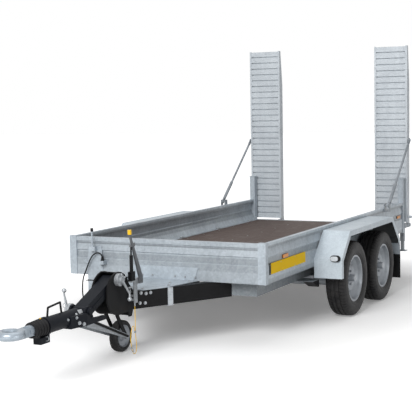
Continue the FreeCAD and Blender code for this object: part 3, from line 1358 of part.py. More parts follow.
def build_jockey():
    y, z = JOCKEY_Y, JOCKEY_R
    outer = JOCKEY_X + JOCKEY_TYRE_W / 2
    keep("jockey_tyre", tyre(y, z, outer, JOCKEY_TYRE_W, JOCKEY_R, JOCKEY_RIM_R, JOCKEY_SIDES))
    half = JOCKEY_RIM_W / 2
    right = [
        (-half, JOCKEY_AXLE_R + PIVOT_CLEAR),
        (-half, JOCKEY_RIM_R * RIM_NAVE),
        (-half * WELL_DEPTH, JOCKEY_RIM_R * RIM_WELL),
        (-half * FLARE_DEPTH, JOCKEY_RIM_R * RIM_FLARE),
        (-half, JOCKEY_RIM_R),
    ]
    left = [(-x, radius) for x, radius in right[::-1]]
    keep("jockey_rim", turned_x([(JOCKEY_X + x, radius) for x, radius in right + left], y, z))
    pieces = []
    for low in (JOCKEY_X - FORK_GAP - FORK_T, JOCKEY_X + FORK_GAP):
        high = low + FORK_T
        pieces.append(slanted_bar(y, z, FORK_PIVOT_Y, FORK_PIVOT_Z, FORK_W, FORK_W, low, high))
        pieces.append(cross_rod(low, high, y, z, FORK_W / 2))
        pieces.append(cross_rod(low, high, FORK_PIVOT_Y, FORK_PIVOT_Z, FORK_W / 2))
    reach = FORK_GAP + FORK_T
    pieces.append(cross_rod(JOCKEY_X - reach, JOCKEY_X + reach, y, z, JOCKEY_AXLE_R))
    hole = cross_rod(JOCKEY_X - reach - LAP, JOCKEY_X + reach + LAP, FORK_PIVOT_Y, FORK_PIVOT_Z, FORK_PIN_R)
    keep("jockey_fork", fuse(pieces).cut(hole))


def build_tie():
    y, z = TIE_PIVOT_Y, TIE_PIVOT_Z
    run_y = JOCKEY_Y - y
    run_z = JOCKEY_R - z
    length = math.hypot(run_y, run_z)
    unit_y, unit_z = run_y / length, run_z / length
    pieces = []
    for low in (JOCKEY_X - TIE_GAP - TIE_T, JOCKEY_X + TIE_GAP):
        high = low + TIE_T
        pieces.append(slanted_bar(y, z, JOCKEY_Y, JOCKEY_R, TIE_FRONT_H, TIE_REAR_H, low, high))
        pieces.append(cross_rod(low, high, y, z, TIE_FRONT_H / 2))
        pieces.append(cross_rod(low, high, JOCKEY_Y, JOCKEY_R, TIE_REAR_H / 2))
    pieces.append(cross_rod(JOCKEY_X - TIE_GAP, JOCKEY_X + TIE_GAP, y + unit_y * TIE_FRONT_H,
                            z + unit_z * TIE_FRONT_H, TIE_PIN_R))
    reach = TIE_GAP + 2 * TIE_T
    tie = fuse(pieces).cut(cross_rod(JOCKEY_X - reach, JOCKEY_X + reach, y, z, TIE_PIN_R))
    keep("jockey_tie", tie)
    strut_x = JOCKEY_X + TIE_GAP + TIE_T + TIE_STRUT_R - TIE_STRUT_SINK
    front = vec(strut_x, y + unit_y * TIE_FRONT_H - unit_z * TIE_STRUT_RISE,
                z + unit_z * TIE_FRONT_H + unit_y * TIE_STRUT_RISE)
    rear = vec(strut_x, JOCKEY_Y - unit_y * TIE_REAR_H / 2, JOCKEY_R - unit_z * TIE_REAR_H / 2)
    sink = box(JOCKEY_X, JOCKEY_X + TIE_GAP + TIE_T, y, JOCKEY_Y + TIE_FRONT_H, 0.0, z + TIE_FRONT_H)
    keep("tie_strut", rod(front, rear, TIE_STRUT_R).cut(sink))


# Ramps and stays

def build_ramps():
    cheek_outline = [
        (RAMP_FRONT_Y, RAMP_BOTTOM_Z),
        (RAMP_FRONT_Y, RAMP_TOP_Z),
        (RAMP_FRONT_Y + RAMP_TIP_DEPTH, RAMP_TOP_Z),
        (RAMP_REAR_Y, RAMP_TOP_Z - RAMP_TAPER_L),
        (RAMP_REAR_Y, RAMP_BOTTOM_Z),
    ]
    pieces = []
    # columns: web start, front lip start
    cheeks = [
        (RAMP_INNER_X, RAMP_INNER_X),
        (RAMP_OUTER_X - RAMP_CHEEK_T, RAMP_OUTER_X - RAMP_FLANGE_W),
    ]
    for web_x, lip_x in cheeks:
        lip_end = lip_x + RAMP_FLANGE_W
        pieces.append(side_plate(cheek_outline, web_x, web_x + RAMP_CHEEK_T))
        pieces.append(box(lip_x, lip_end, RAMP_FRONT_Y, RAMP_FRONT_Y + RAMP_CHEEK_T, RAMP_BOTTOM_Z, RAMP_TOP_Z))
        pieces.append(box(lip_x, lip_end, RAMP_REAR_Y - RAMP_CHEEK_T, RAMP_REAR_Y,
                          RAMP_BOTTOM_Z, RAMP_TOP_Z - RAMP_TAPER_L))
    count = round(RAMP_L / SLAT_PITCH)
    pitch = RAMP_L / count
    face_y = RAMP_FRONT_Y + RAMP_CHEEK_T
    for index in range(count):
        low = RAMP_BOTTOM_Z + index * pitch + (pitch - SLAT_H) / 2
        pieces.append(side_plate([
            (face_y, low),
            (face_y, low + SLAT_H),
            (face_y + SLAT_LIP, low + SLAT_H),
            (face_y + SLAT_LIP, low + SLAT_H - SLAT_T),
            (face_y + SLAT_T, low + SLAT_H - SLAT_T),
            (face_y + SLAT_T, low),
        ], RAMP_INNER_X + RAMP_CHEEK_T, RAMP_OUTER_X - RAMP_CHEEK_T))
    for x0 in (RAMP_INNER_X, RAMP_OUTER_X - RAMP_EAR_T):
        pieces.append(side_plate([
            (RAMP_HINGE_Y - RAMP_EAR_R, RAMP_BOTTOM_Z + RAMP_EAR_R),
            (RAMP_HINGE_Y - RAMP_EAR_R, RAMP_HINGE_Z),
            (RAMP_HINGE_Y + RAMP_EAR_R, RAMP_HINGE_Z),
            (RAMP_REAR_Y, RAMP_BOTTOM_Z + RAMP_EAR_R),
        ], x0, x0 + RAMP_EAR_T))
        pieces.append(cross_rod(x0, x0 + RAMP_EAR_T, RAMP_HINGE_Y, RAMP_HINGE_Z, RAMP_EAR_R))
    stud_end = STAY_X + STAY_T + STAY_STUD_R
    pieces.append(cross_rod(RAMP_OUTER_X - RAMP_CHEEK_T, stud_end, STAY_TOP_Y, STAY_TOP_Z, STAY_STUD_R))
    lock_y = RAMP_FRONT_Y + LOCK_BACK
    lock_z = RAMP_BOTTOM_Z + LOCK_RISE
    lock_x = RAMP_OUTER_X + LOCK_REACH
    pieces.append(cross_rod(RAMP_OUTER_X - RAMP_CHEEK_T, lock_x, lock_y, lock_z, LOCK_ROD_R))
    pieces.append(Part.makeSphere(LOCK_BALL_R, vec(lock_x, lock_y, lock_z)))
    hole = cross_rod(RAMP_INNER_X - LAP, RAMP_OUTER_X + LAP, RAMP_HINGE_Y, RAMP_HINGE_Z, RAMP_PIN_R + PIVOT_CLEAR)
    ramp = fuse(pieces).cut(hole)
    keep("ramp_left", ramp)
    keep("ramp_right", mirror_x(ramp))


def build_stays():
    run_y = STAY_TOP_Y - STAY_BASE_Y
    run_z = STAY_TOP_Z - STAY_BASE_Z
    length = math.hypot(run_y, run_z)
    unit = vec(0, run_y / length, run_z / length)
    stay_end = STAY_X + STAY_T
    middle = STAY_X + STAY_T / 2
    base = vec(middle, STAY_BASE_Y, STAY_BASE_Z)
    tip = vec(middle, STAY_TOP_Y, STAY_TOP_Z)
    start = base + unit * STAY_TAB_L
    pieces = [
        rod(start, tip - unit * STAY_TAB_L, STAY_ROD_R),
        rod(start, start + unit * STAY_SLEEVE_L, STAY_SLEEVE_R),
        cross_rod(STAY_X, stay_end, STAY_BASE_Y, STAY_BASE_Z, STAY_EYE_R),
        cross_rod(STAY_X, stay_end, STAY_TOP_Y, STAY_TOP_Z, STAY_EYE_R),
    ]
    tab_w = 2 * STAY_EYE_R * STAY_TAB_FILL
    for point, sign in ((base, 1), (tip, -1)):
        end = point + unit * (sign * (STAY_TAB_L + STAY_EYE_R))
        pieces.append(slanted_bar(point.y, point.z, end.y, end.z, tab_w, tab_w, STAY_X, stay_end))
    reach = STAY_EYE_R * 2
    opening = side_plate([
        (STAY_TOP_Y + unit.z * reach, STAY_TOP_Z - unit.y * reach),
        (STAY_TOP_Y, STAY_TOP_Z),
        (STAY_TOP_Y, STAY_TOP_Z + reach),
        (STAY_TOP_Y + reach * 2, STAY_TOP_Z + reach),
        (STAY_TOP_Y + reach * 2, STAY_TOP_Z - reach * 2),
    ], STAY_X - LAP, stay_end + LAP)
    seat = cross_rod(STAY_X - LAP, stay_end + LAP, STAY_TOP_Y, STAY_TOP_Z, STAY_STUD_R + STAY_STUD_CLEAR)
    pin_hole = cross_rod(STAY_X - LAP, stay_end + LAP, STAY_BASE_Y, STAY_BASE_Z, STAY_STUD_R + PIVOT_CLEAR)
    stay = fuse(pieces).cut(opening).cut(seat).cut(pin_hole)
    keep("stay_left", stay)
    keep("stay_right", mirror_x(stay))
    low = WALL_TOP_Z - RAIL_H
    high = STAY_BASE_Z + STAY_EYE_R
    ear_x = stay_end + STAY_EAR_GAP
    ear_end = ear_x + STAY_EAR_T
    ear_front = STAY_BASE_Y - STAY_EAR_HALF
    ear_rear = STAY_BASE_Y + STAY_EAR_HALF
    bracket = fuse([
        box(BODY_HALF_W, BODY_HALF_W + STAY_PLATE_T, STAY_BASE_Y - STAY_PLATE_HALF,
            STAY_BASE_Y + STAY_PLATE_HALF, low, high),
        box(ear_x, ear_end, ear_front, ear_rear, low, high),
        box(BODY_HALF_W, ear_end, ear_front, ear_rear, low, low + STAY_EAR_T),
        cross_rod(BODY_HALF_W, ear_end, STAY_BASE_Y, STAY_BASE_Z, STAY_STUD_R),
    ])
    keep("stay_brackets", bracket, mirror_x(bracket))


# Brake lever, its link plate and gas strut

def build_brake():
    plate_end = LINK_PLATE_X + LINK_PLATE_T
    lever_end = plate_end + LEVER_T
    lever_x = plate_end + LEVER_T / 2
    lever = side_plate([
        (LEVER_TOP_Y - LEVER_TOP_HALF, LEVER_TOP_Z - LEVER_GRIP_L),
        (LEVER_TOP_Y + LEVER_TOP_HALF, LEVER_TOP_Z - LEVER_GRIP_L),
        (LEVER_FOOT_Y + LEVER_FOOT_HALF, LEVER_FOOT_Z),
        (LEVER_FOOT_Y + LEVER_FOOT_HALF, LEVER_FOOT_Z - 2 * LEVER_FOOT_HALF),
        (LEVER_FOOT_Y - LEVER_FOOT_HALF, LEVER_FOOT_Z - 2 * LEVER_FOOT_HALF),
        (LEVER_FOOT_Y - LEVER_FOOT_HALF, LEVER_FOOT_Z),
    ], plate_end, lever_end)
    strut_y = LEVER_FOOT_Y - STRUT_AHEAD
    ear_z = LEVER_FOOT_Z + STRUT_TOP_RISE
    ear = side_plate([
        (strut_y - STRUT_EYE_R, ear_z),
        (strut_y - STRUT_EYE_R, ear_z + STRUT_EYE_R),
        (LEVER_TOP_Y + STRUT_AHEAD / 2, ear_z + 2 * STRUT_EYE_R),
        (LEVER_TOP_Y + STRUT_AHEAD / 2, ear_z),
    ], plate_end, lever_end)
    pin_z = LEVER_FOOT_Z - LEVER_FOOT_HALF
    pin = cross_rod(plate_end, lever_end + LEVER_T / 2, LEVER_FOOT_Y, pin_z, LEVER_PIN_R)
    keep("brake_lever", fuse([lever, ear, pin]))
    keep("lever_grip", Part.makeCylinder(LEVER_GRIP_R, LEVER_GRIP_L,
                                         vec(lever_x, LEVER_TOP_Y, LEVER_TOP_Z - LEVER_GRIP_L), UP))
    seat_z = HUB_DISC_Z + STRUT_SEAT_RISE
    block_top = seat_z + STRUT_BLOCK_H
    half_l = STRUT_BLOCK_L / 2
    half_t = STRUT_BLOCK_T / 2
    block = box(lever_x - half_t, lever_x + half_t, strut_y - half_l, strut_y + half_l, seat_z, block_top)
    body = Part.makeCylinder(STRUT_BODY_R, ear_z - STRUT_SHOW - block_top, vec(lever_x, strut_y, block_top), UP)
    piston = Part.makeCylinder(STRUT_PISTON_R, ear_z - block_top, vec(lever_x, strut_y, block_top), UP)
    keep("brake_strut", fuse([block, body, piston]))
    front = HUB_REAR_Y - LINK_AHEAD
    link_bottom = HUB_BOTTOM_Z + LINK_BOTTOM_RISE
    foot_top = LEVER_FOOT_Z
    plate = side_plate([
        (front, link_bottom),
        (HUB_REAR_Y, link_bottom),
        (HUB_REAR_Y, HUB_DISC_Z + LINK_SHOULDER - LINK_MIDDLE),
        (LEVER_FOOT_Y + LEVER_FOOT_HALF, HUB_DISC_Z + LINK_SHOULDER),
        (LEVER_FOOT_Y + LEVER_FOOT_HALF, foot_top),
        (LEVER_FOOT_Y - LEVER_FOOT_HALF, foot_top),
        (front, seat_z),
    ], LINK_PLATE_X, plate_end)
    seat = box(LINK_PLATE_X, lever_x + half_t, strut_y - half_l, strut_y + half_l, seat_z - LINK_PLATE_T, seat_z)
    arm = box(LINK_PLATE_X, plate_end, strut_y, front + LINK_PLATE_T, seat_z - 2 * LINK_PLATE_T, seat_z)
    stud_x = LINK_PLATE_X + LINK_PLATE_T / 2
    stud_z = HUB_BOTTOM_Z + LINK_STUD_RISE
    stud = rod(vec(stud_x, front + LAP, stud_z), vec(stud_x, front - LINK_STUD_L, stud_z), LINK_STUD_R)
    spacers = [cross_rod(HUB_FACE_X, LINK_PLATE_X + LAP, (front + HUB_REAR_Y) / 2, HUB_BOTTOM_Z + rise,
                         LINK_SPACER_R) for rise in LINK_SPACER_RISES]
    ferrule = Part.makeCylinder(CORD_FERRULE_R, CORD_FERRULE_L + LAP,
                                vec(CORD_ROUTE[0][0], CORD_ROUTE[0][1], link_bottom - CORD_FERRULE_L), UP)
    keep("brake_link", fuse([plate, seat, arm, stud, ferrule] + spacers))


def build_cord_clip():
    end = CORD_ROUTE[-1]
    run_x, run_y = CORD_ROUTE[0][:2]
    block = box(run_x - FERRULE_R, run_x + FERRULE_R, end[1] - FERRULE_R, run_y + FERRULE_R,
                end[2] - FERRULE_L, end[2])
    clear = CORD_R + SEAT_GAP
    block = block.cut(Part.makeCylinder(clear, FERRULE_L + 2 * LAP, vec(run_x, run_y, end[2] - FERRULE_L - LAP), UP))
    low = vec(*CORD_ROUTE[CLIP_POINT])
    high = vec(*CORD_ROUTE[CLIP_POINT + 1])
    hold = (low + high) * 0.5
    ring = Part.makeTorus(CLIP_RING_R, CLIP_WIRE_R, hold, high - low)
    x = hold.x + CLIP_STANDOFF
    along_y = math.cos(CLIP_LEAN)
    along_z = -math.sin(CLIP_LEAN)
    half = CLIP_L / 2
    nose = CLIP_W / 2
    corners = [(-half, -nose), (-half + nose, 0.0), (half - nose, 0.0), (half, -nose),
               (half - nose, -CLIP_W), (-half + nose, -CLIP_W)]
    loop = []
    for along, out in corners + corners[:2]:
        y = hold.y + along_y * along - along_z * out
        z = hold.z + along_z * along + along_y * out
        loop.append(vec(x, y, z))
    keep("cord_clip", block, fuse([ring, bent_rod(loop, CLIP_WIRE_R)]))


# Lamps, cable stand and wheel chocks

def build_lamps():
    recess_x = BODY_HALF_W - RECESS_INSET
    marker_z = RECESS_BOTTOM_Z + MARKER_RISE
    markers = []
    for y in (MARKER_FRONT_Y, BODY_L - MARKER_REAR_BACK):
        marker = box(recess_x, recess_x + MARKER_T, y - MARKER_L / 2, y + MARKER_L / 2, marker_z, marker_z + MARKER_H)
        markers += [marker, mirror_x(marker)]
    keep("side_markers", *markers)
    lamp_x = GUARD_OUTER_X - LAMP_EDGE
    rise = LAMP_H - LAMP_BELOW_KNEE
    lean = (GUARD_TOP_FRONT_Y - GUARD_FRONT_Y) / (GUARD_TOP_Z - GUARD_KNEE_Z) * rise
    lamp = side_plate([
        (GUARD_FRONT_Y, GUARD_KNEE_Z - LAMP_BELOW_KNEE),
        (GUARD_FRONT_Y, GUARD_KNEE_Z),
        (GUARD_FRONT_Y + lean, GUARD_KNEE_Z + rise),
        (GUARD_FRONT_Y, GUARD_KNEE_Z + rise),
        (GUARD_FRONT_Y - LAMP_D, GUARD_KNEE_Z + LAMP_D / 2),
        (GUARD_FRONT_Y - LAMP_D, GUARD_KNEE_Z - LAMP_BELOW_KNEE),
    ], lamp_x, lamp_x + LAMP_W)
    keep("front_lamps", lamp, mirror_x(lamp))
    low = BOARD_TOP_Z - REAR_BEAM_H + REAR_LAMP_RISE
    right = RAMP_INNER_X - REAR_LAMP_GAP
    cluster = box(right - REAR_LAMP_W, right, BEAM_BACK_Y, BEAM_BACK_Y + REAR_LAMP_D, low, low + REAR_LAMP_H)
    keep("rear_lamps", cluster, mirror_x(cluster))


def build_stand():
    fold_x = STAND_X0 + STAND_FOLD
    bottom_x = STAND_X1 - STAND_FOLD
    horn_z = STAND_TOP_Z - HORN_DROP
    plate = long_section([
        (STAND_X0, STAND_BOTTOM_Z + STAND_FOLD),
        (fold_x, STAND_BOTTOM_Z),
        (bottom_x, STAND_BOTTOM_Z),
        (STAND_X1, STAND_BOTTOM_Z + STAND_FOLD),
        (STAND_X1, SOCKET_Z + SOCKET_H),
        (STAND_X1 - STAND_FOLD / 2, STAND_TOP_Z),
        (fold_x, STAND_TOP_Z),
        (STAND_X0, horn_z + HORN_H),
        (STAND_X0, horn_z + HORN_H / 2),
        (STAND_X0 - HORN_L / 2, horn_z + HORN_H),
        (STAND_X0 - HORN_L, horn_z + HORN_H / 2),
        (STAND_X0, horn_z),
    ], STAND_FRONT_Y, FOOT_INSET)
    clip_z = STAND_TOP_Z - STAND_CLIP_H
    clip = box(KNOB_X - STAND_CLIP / 2, KNOB_X + STAND_CLIP / 2, KNOB_Y - KNOB_ROD_R, FOOT_INSET,
               clip_z, STAND_TOP_Z)
    stem = rod(vec(KNOB_X, KNOB_Y, clip_z), vec(KNOB_X, KNOB_Y, KNOB_TOP_Z), KNOB_ROD_R)
    socket = box(SOCKET_X - SOCKET_R, SOCKET_X + SOCKET_R, CABLE_Y - SOCKET_R, FOOT_INSET,
                 SOCKET_Z, SOCKET_Z + SOCKET_H)
    bore = Part.makeCylinder(PLUG_R + SEAT_GAP, SOCKET_H + 2 * LAP, vec(SOCKET_X, CABLE_Y, SOCKET_Z - LAP), UP)
    keep("cable_stand", fuse([plate, clip, stem, socket]).cut(bore))
    keep("stand_knob", Part.makeCylinder(KNOB_R, KNOB_H, vec(KNOB_X, KNOB_Y, KNOB_TOP_Z), UP))
    plug_top = CABLE_ROUTE[0][2]
    keep("cable_plug", Part.makeCylinder(PLUG_R, PLUG_L, vec(SOCKET_X, CABLE_Y, plug_top - PLUG_L), UP))


def build_chocks():
    wedge = side_plate([
        (CHOCK_Y, CHASSIS_BOTTOM_Z),
        (CHOCK_Y + CHOCK_L, CHASSIS_BOTTOM_Z),
        (CHOCK_Y + CHOCK_L, CHASSIS_BOTTOM_Z - CHOCK_H),
        (CHOCK_Y + CHOCK_L - CHOCK_H / 3, CHASSIS_BOTTOM_Z - CHOCK_H),
    ], CHOCK_X1 - CHOCK_W, CHOCK_X1)
    keep("wheel_chock", wedge)


def write_parts():
    os.makedirs("parts", exist_ok=True)
    shift = vec(0, -ORIGIN_Y, 0)
    for name, shapes in NODES.items():
        solids = []
        for shape in shapes:
            solids += shape.Solids
        whole = solids[0] if len(solids) == 1 else Part.makeCompound(solids)
        whole = whole.copy()
        whole.translate(shift)
        whole.exportStep("parts/" + name + ".step")


build_body()
build_posts()
build_rings()
build_chassis()
build_rear_beam()
build_props()
build_axles()
build_wheels()
build_mudguards()
build_hub()
build_joints()
build_arm()
build_head()
build_eye()
build_beams()
build_gusset()
build_jockey()
build_tie()
build_ramps()
build_stays()
build_brake()
build_cord_clip()
build_lamps()
build_stand()
build_chocks()
cord("power_cable", CABLE_ROUTE, CABLE_R)
cord("safety_cord", CORD_ROUTE, CORD_R)
write_parts()
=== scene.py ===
import bpy
import bmesh
import json
import math
from mathutils import Matrix, Vector


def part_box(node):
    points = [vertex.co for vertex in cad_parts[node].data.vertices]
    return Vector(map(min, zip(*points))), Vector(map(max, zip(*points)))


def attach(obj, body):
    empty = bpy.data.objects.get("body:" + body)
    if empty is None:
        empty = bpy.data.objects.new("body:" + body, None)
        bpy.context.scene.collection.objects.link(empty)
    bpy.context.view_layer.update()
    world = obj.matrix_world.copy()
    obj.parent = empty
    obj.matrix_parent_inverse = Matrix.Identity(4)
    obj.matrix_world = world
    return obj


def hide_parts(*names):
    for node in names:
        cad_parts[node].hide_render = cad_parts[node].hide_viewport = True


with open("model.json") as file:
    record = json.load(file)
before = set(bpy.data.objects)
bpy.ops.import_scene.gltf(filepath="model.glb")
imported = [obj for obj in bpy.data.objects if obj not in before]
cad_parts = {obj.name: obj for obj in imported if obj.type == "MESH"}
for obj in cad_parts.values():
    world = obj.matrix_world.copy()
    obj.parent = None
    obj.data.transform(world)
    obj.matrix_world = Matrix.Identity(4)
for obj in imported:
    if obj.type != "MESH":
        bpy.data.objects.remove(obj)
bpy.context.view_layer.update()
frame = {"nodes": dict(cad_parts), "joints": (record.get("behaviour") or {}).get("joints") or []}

# Side walls
# Each wall is one sheet of mild steel, folded lengthwise into bands and an inner ledge.
# It is welded to the posts and dipped in hot zinc, which leaves a pale, spangled grey skin.

wall_low, wall_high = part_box("side_left")
STREAK_SHARE = 0.4
SPANGLE_SHARE = 0.38
# Painted shade along the wall's folds, as darker bands by height: (share of the wall's height, tone).
WALL_SHADE_BANDS = [(0.0, 0.62), (0.10, 0.72), (0.14, 0.98), (0.44, 0.9), (0.48, 0.58), (0.62, 0.66), (0.66, 1.0),
              (0.84, 0.92), (0.88, 0.52), (0.93, 0.62), (0.95, 1.0)]


def new_finish(name):
    """A material with its node tree and its main shader."""
    finish = bpy.data.materials.new(name)
    finish.use_nodes = True
    tree = finish.node_tree
    return finish, tree, tree.nodes["Principled BSDF"]


def set_inputs(tree, node, **inputs):
    """Sets a node's inputs to values, or links them to other nodes' outputs.

    An input goes by its socket's name, with _ for a space, or by i and its number.
    """
    for key, value in inputs.items():
        numbered = key[1:].isdigit()
        socket = node.inputs[int(key[1:]) if numbered else key.replace("_", " ")]
        if isinstance(value, bpy.types.NodeSocket):
            tree.links.new(value, socket)
        else:
            socket.default_value = value


def add_node(tree, kind, settings=None, **inputs):
    """A shader node with its settings and its inputs."""
    node = tree.nodes.new(kind)
    for key, value in (settings or {}).items():
        setattr(node, key, value)
    set_inputs(tree, node, **inputs)
    return node


def own_space(tree):
    """The place of each point in the trailer's own metres."""
    return add_node(tree, "ShaderNodeTexCoord").outputs["Object"]


def stretched(tree, place, scale, shift=(0.0, 0.0, 0.0)):
    """A place that is scaled along each axis and shifted, so that a pattern on it is stretched."""
    return add_node(tree, "ShaderNodeMapping", Vector=place, Location=shift, Scale=scale).outputs["Vector"]


def cloud_noise(tree, place, scale, detail, rough=0.5):
    """Cloudy noise from 0 to 1."""
    return add_node(tree, "ShaderNodeTexNoise", Vector=place, Scale=scale, Detail=detail,
                    Roughness=rough).outputs["Fac"]


def grey_stops(tree, factor, stops):
    """Turns a factor into grey levels; each stop is (position, grey level)."""
    node = add_node(tree, "ShaderNodeValToRGB", Fac=factor)
    elements = node.color_ramp.elements
    while len(elements) < len(stops):
        elements.new(0.5)
    for element, (position, tone) in zip(elements, stops):
        element.position = position
        element.color = (tone, tone, tone, 1.0)
    return node.outputs["Color"]


def mix_colour(tree, factor, low, high, blend="MIX"):
    """Mixes two colours, each of which is three numbers or another node's output."""
    low, high = ((*colour, 1.0) if isinstance(colour, tuple) else colour for colour in (low, high))
    return add_node(tree, "ShaderNodeMix", {"data_type": "RGBA", "blend_type": blend},
                    i0=factor, i6=low, i7=high).outputs[2]


def bump_node(tree, height, distance, strength):
    """Surface relief from a height of 0 to 1 over a distance in metres."""
    return add_node(tree, "ShaderNodeBump", Height=height, Distance=distance,
                    Strength=strength).outputs["Normal"]


def galvanised_finish(name, dull, bright, spangles_per_m, metal, rough=(0.36, 0.56), bands=None):
    """Hot-dip zinc with spangles, clouds, drain streaks and painted shade bands; rough is that of (bright,
    dull) zinc.
    """
    finish, tree, shader = new_finish(name)
    place = own_space(tree)
    spangle = add_node(tree, "ShaderNodeTexVoronoi", {"feature": "F1"}, Vector=place, Scale=spangles_per_m)
    cell = add_node(tree, "ShaderNodeSeparateColor", Color=spangle.outputs["Color"]).outputs[0]
    blotch = cloud_noise(tree, place, 3.2, 7.0, 0.62)
    streak = cloud_noise(tree, stretched(tree, place, (9.0, 9.0, 1.4)), 2.0, 5.0)
    cloud = grey_stops(tree, mix_colour(tree, STREAK_SHARE, blotch, streak), [(0.34, 0.0), (0.66, 1.0)])
    tone = mix_colour(tree, SPANGLE_SHARE, cloud, cell)
    colour = mix_colour(tree, tone, dull, bright)
    # Painted shade: the colour is multiplied by darker bands by height over the wall's height.
    if bands:
        height = add_node(tree, "ShaderNodeSeparateXYZ", Vector=place).outputs["Z"]
        level = add_node(tree, "ShaderNodeMapRange", Value=height,
                         From_Min=wall_low.z, From_Max=wall_high.z).outputs["Result"]
        colour = mix_colour(tree, 1.0, colour, grey_stops(tree, level, bands), "MULTIPLY")
    relief = mix_colour(tree, 0.5, cloud_noise(tree, place, 160.0, 3.0), cell)
    set_inputs(tree, shader, Base_Color=colour, Metallic=metal,
               Roughness=grey_stops(tree, tone, [(0.0, rough[1]), (1.0, rough[0])]),
               Normal=bump_node(tree, relief, 0.0004, 0.35))
    return finish


def dress(finish, *nodes):
    """Gives CAD nodes a finish."""
    for node in nodes:
        for holder in frame["nodes"][node].material_slots:
            holder.material = finish


# The walls carry painted shade bands along their folds.
zinc_wall = galvanised_finish("galvanised_wall", dull=(0.31, 0.35, 0.39), bright=(0.52, 0.58, 0.63),
                              spangles_per_m=62.0, metal=0.25, rough=(0.34, 0.5), bands=WALL_SHADE_BANDS)
dress(zinc_wall, "side_left", "side_right")

# Front panel
# The panel is a folded steel sheet as high as the walls, with pressed bands across it.
# It closes the bed behind the drawbar, and its zinc is darkened by painted shade bands by height.

# Painted shade across the panel, as darker bands by height: (share of the wall's height, tone).
FRONT_SHADE_BANDS = [(0.0, 0.98), (0.26, 0.98), (0.28, 0.84), (0.43, 0.84), (0.45, 1.0), (0.46, 0.76), (0.60, 0.76),
               (0.62, 1.0), (0.81, 0.98), (0.83, 0.52), (0.85, 0.55), (0.865, 1.0)]
zinc_front = galvanised_finish("galvanised_front", dull=(0.29, 0.325, 0.36), bright=(0.47, 0.52, 0.56),
                               spangles_per_m=62.0, metal=0.2, bands=FRONT_SHADE_BANDS)
dress(zinc_front, "front_panel")

# Posts, front gusset, cable stand and flap brackets
# These are cut and folded steel plate with plain zinc.
# Posts and gusset are welded to the walls and the front panel, stand and brackets are bolted on.

zinc_sheet = galvanised_finish("galvanised_sheet", dull=(0.31, 0.35, 0.39), bright=(0.50, 0.56, 0.61),
                               spangles_per_m=62.0, metal=0.2)
dress(zinc_sheet, "front_gusset", "corner_posts", "rear_posts", "cable_stand", "flap_brackets")

# Mudguards
# Each guard is one strip of steel, folded over both wheels, with a turned-down outer edge.
# It is bolted to the wall, and under its pale zinc top its faces that look down are painted near black as
# shade.

# Painted shade: faces that look down are darkened towards this near black, by this share.
UNDERSIDE_SHADE_COLOUR = (0.020, 0.019, 0.018)
UNDERSIDE_SHADE_SHARE = 0.93


def add_painted_underside_shade(finish):
    """Paints shade on the faces that look down, by darkening them towards near black."""
    tree = finish.node_tree
    shader = tree.nodes["Principled BSDF"]
    unshaded = shader.inputs["Base Color"].links[0].from_socket
    facing = add_node(tree, "ShaderNodeTexCoord").outputs["Normal"]
    down = add_node(tree, "ShaderNodeSeparateXYZ", Vector=facing).outputs["Z"]
    share = add_node(tree, "ShaderNodeMapRange", Value=down, From_Min=-0.1, From_Max=-0.35,
                     To_Min=0.0, To_Max=UNDERSIDE_SHADE_SHARE).outputs["Result"]
    set_inputs(tree, shader, Base_Color=mix_colour(tree, share, unshaded, UNDERSIDE_SHADE_COLOUR))


zinc_guard = galvanised_finish("galvanised_guard", dull=(0.42, 0.48, 0.53), bright=(0.58, 0.65, 0.70),
                               spangles_per_m=110.0, metal=0.15)
# The guard's faces that look down get painted shade.
add_painted_underside_shade(zinc_guard)
dress(zinc_guard, "mudguard_left", "mudguard_right")

# Chassis rails
# Two cold-rolled steel channels run under the walls and carry the whole bed.
# Their zinc is given a darker tone than the rest.

rail_zinc = galvanised_finish("galvanised_rail", dull=(0.15, 0.17, 0.19), bright=(0.29, 0.32, 0.34),
                              spangles_per_m=85.0, metal=0.15)
dress(rail_zinc, "chassis_rails")

# Cross members, rear beam, axles, props, beam straps and jockey tie
# These are rolled sections and thick plate, which take a darker and more even zinc than thin sheet.
# Cross members and rear beam are welded between the rails, the axles and straps are bolted on.

zinc_frame = galvanised_finish("galvanised_frame", dull=(0.30, 0.33, 0.36), bright=(0.50, 0.53, 0.56),
                               spangles_per_m=85.0, metal=0.3)
dress(zinc_frame, "cross_members", "rear_beam", "axles", "jockey_tie", "rear_props", "beam_straps")

# Drawbar shelf
# A galvanised plate closes the top of the drawbar between the front gusset and the hub.
# It lies on the two beams, is notched round the gusset and bolted down.

# Places are given in millimetres, with y counted backwards from the front panel's face.
PANEL_FACE = 849.0
SHELF_LOW = 480.2
SHELF_THICK = 6.0
SHELF_OUTLINE = [(-300, -6), (-226, -330), (-113, -524), (113, -524), (226, -330), (300, -6),
                 (208, -6), (208, -153), (-208, -153), (-208, -6)]


def at(x, y, z):
    """A place of the frame in metres, from millimetres counted from the front panel."""
    return Vector((x, y - PANEL_FACE, z)) / 1000.0


def finish_piece(mesh_edit, name, finish, body, smooth=None):
    """Turns a bmesh into a piece that rides on a body; smooth is the angle up to which edges are soft."""
    bmesh.ops.recalc_face_normals(mesh_edit, faces=mesh_edit.faces)
    mesh = bpy.data.meshes.new(name)
    mesh_edit.to_mesh(mesh)
    mesh_edit.free()
    mesh.materials.append(finish)
    if smooth is not None:
        for face in mesh.polygons:
            face.use_smooth = True
        mesh.set_sharp_from_angle(angle=smooth)
    piece = bpy.data.objects.new(name, mesh)
    bpy.context.scene.collection.objects.link(piece)
    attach(piece, body)
    return piece


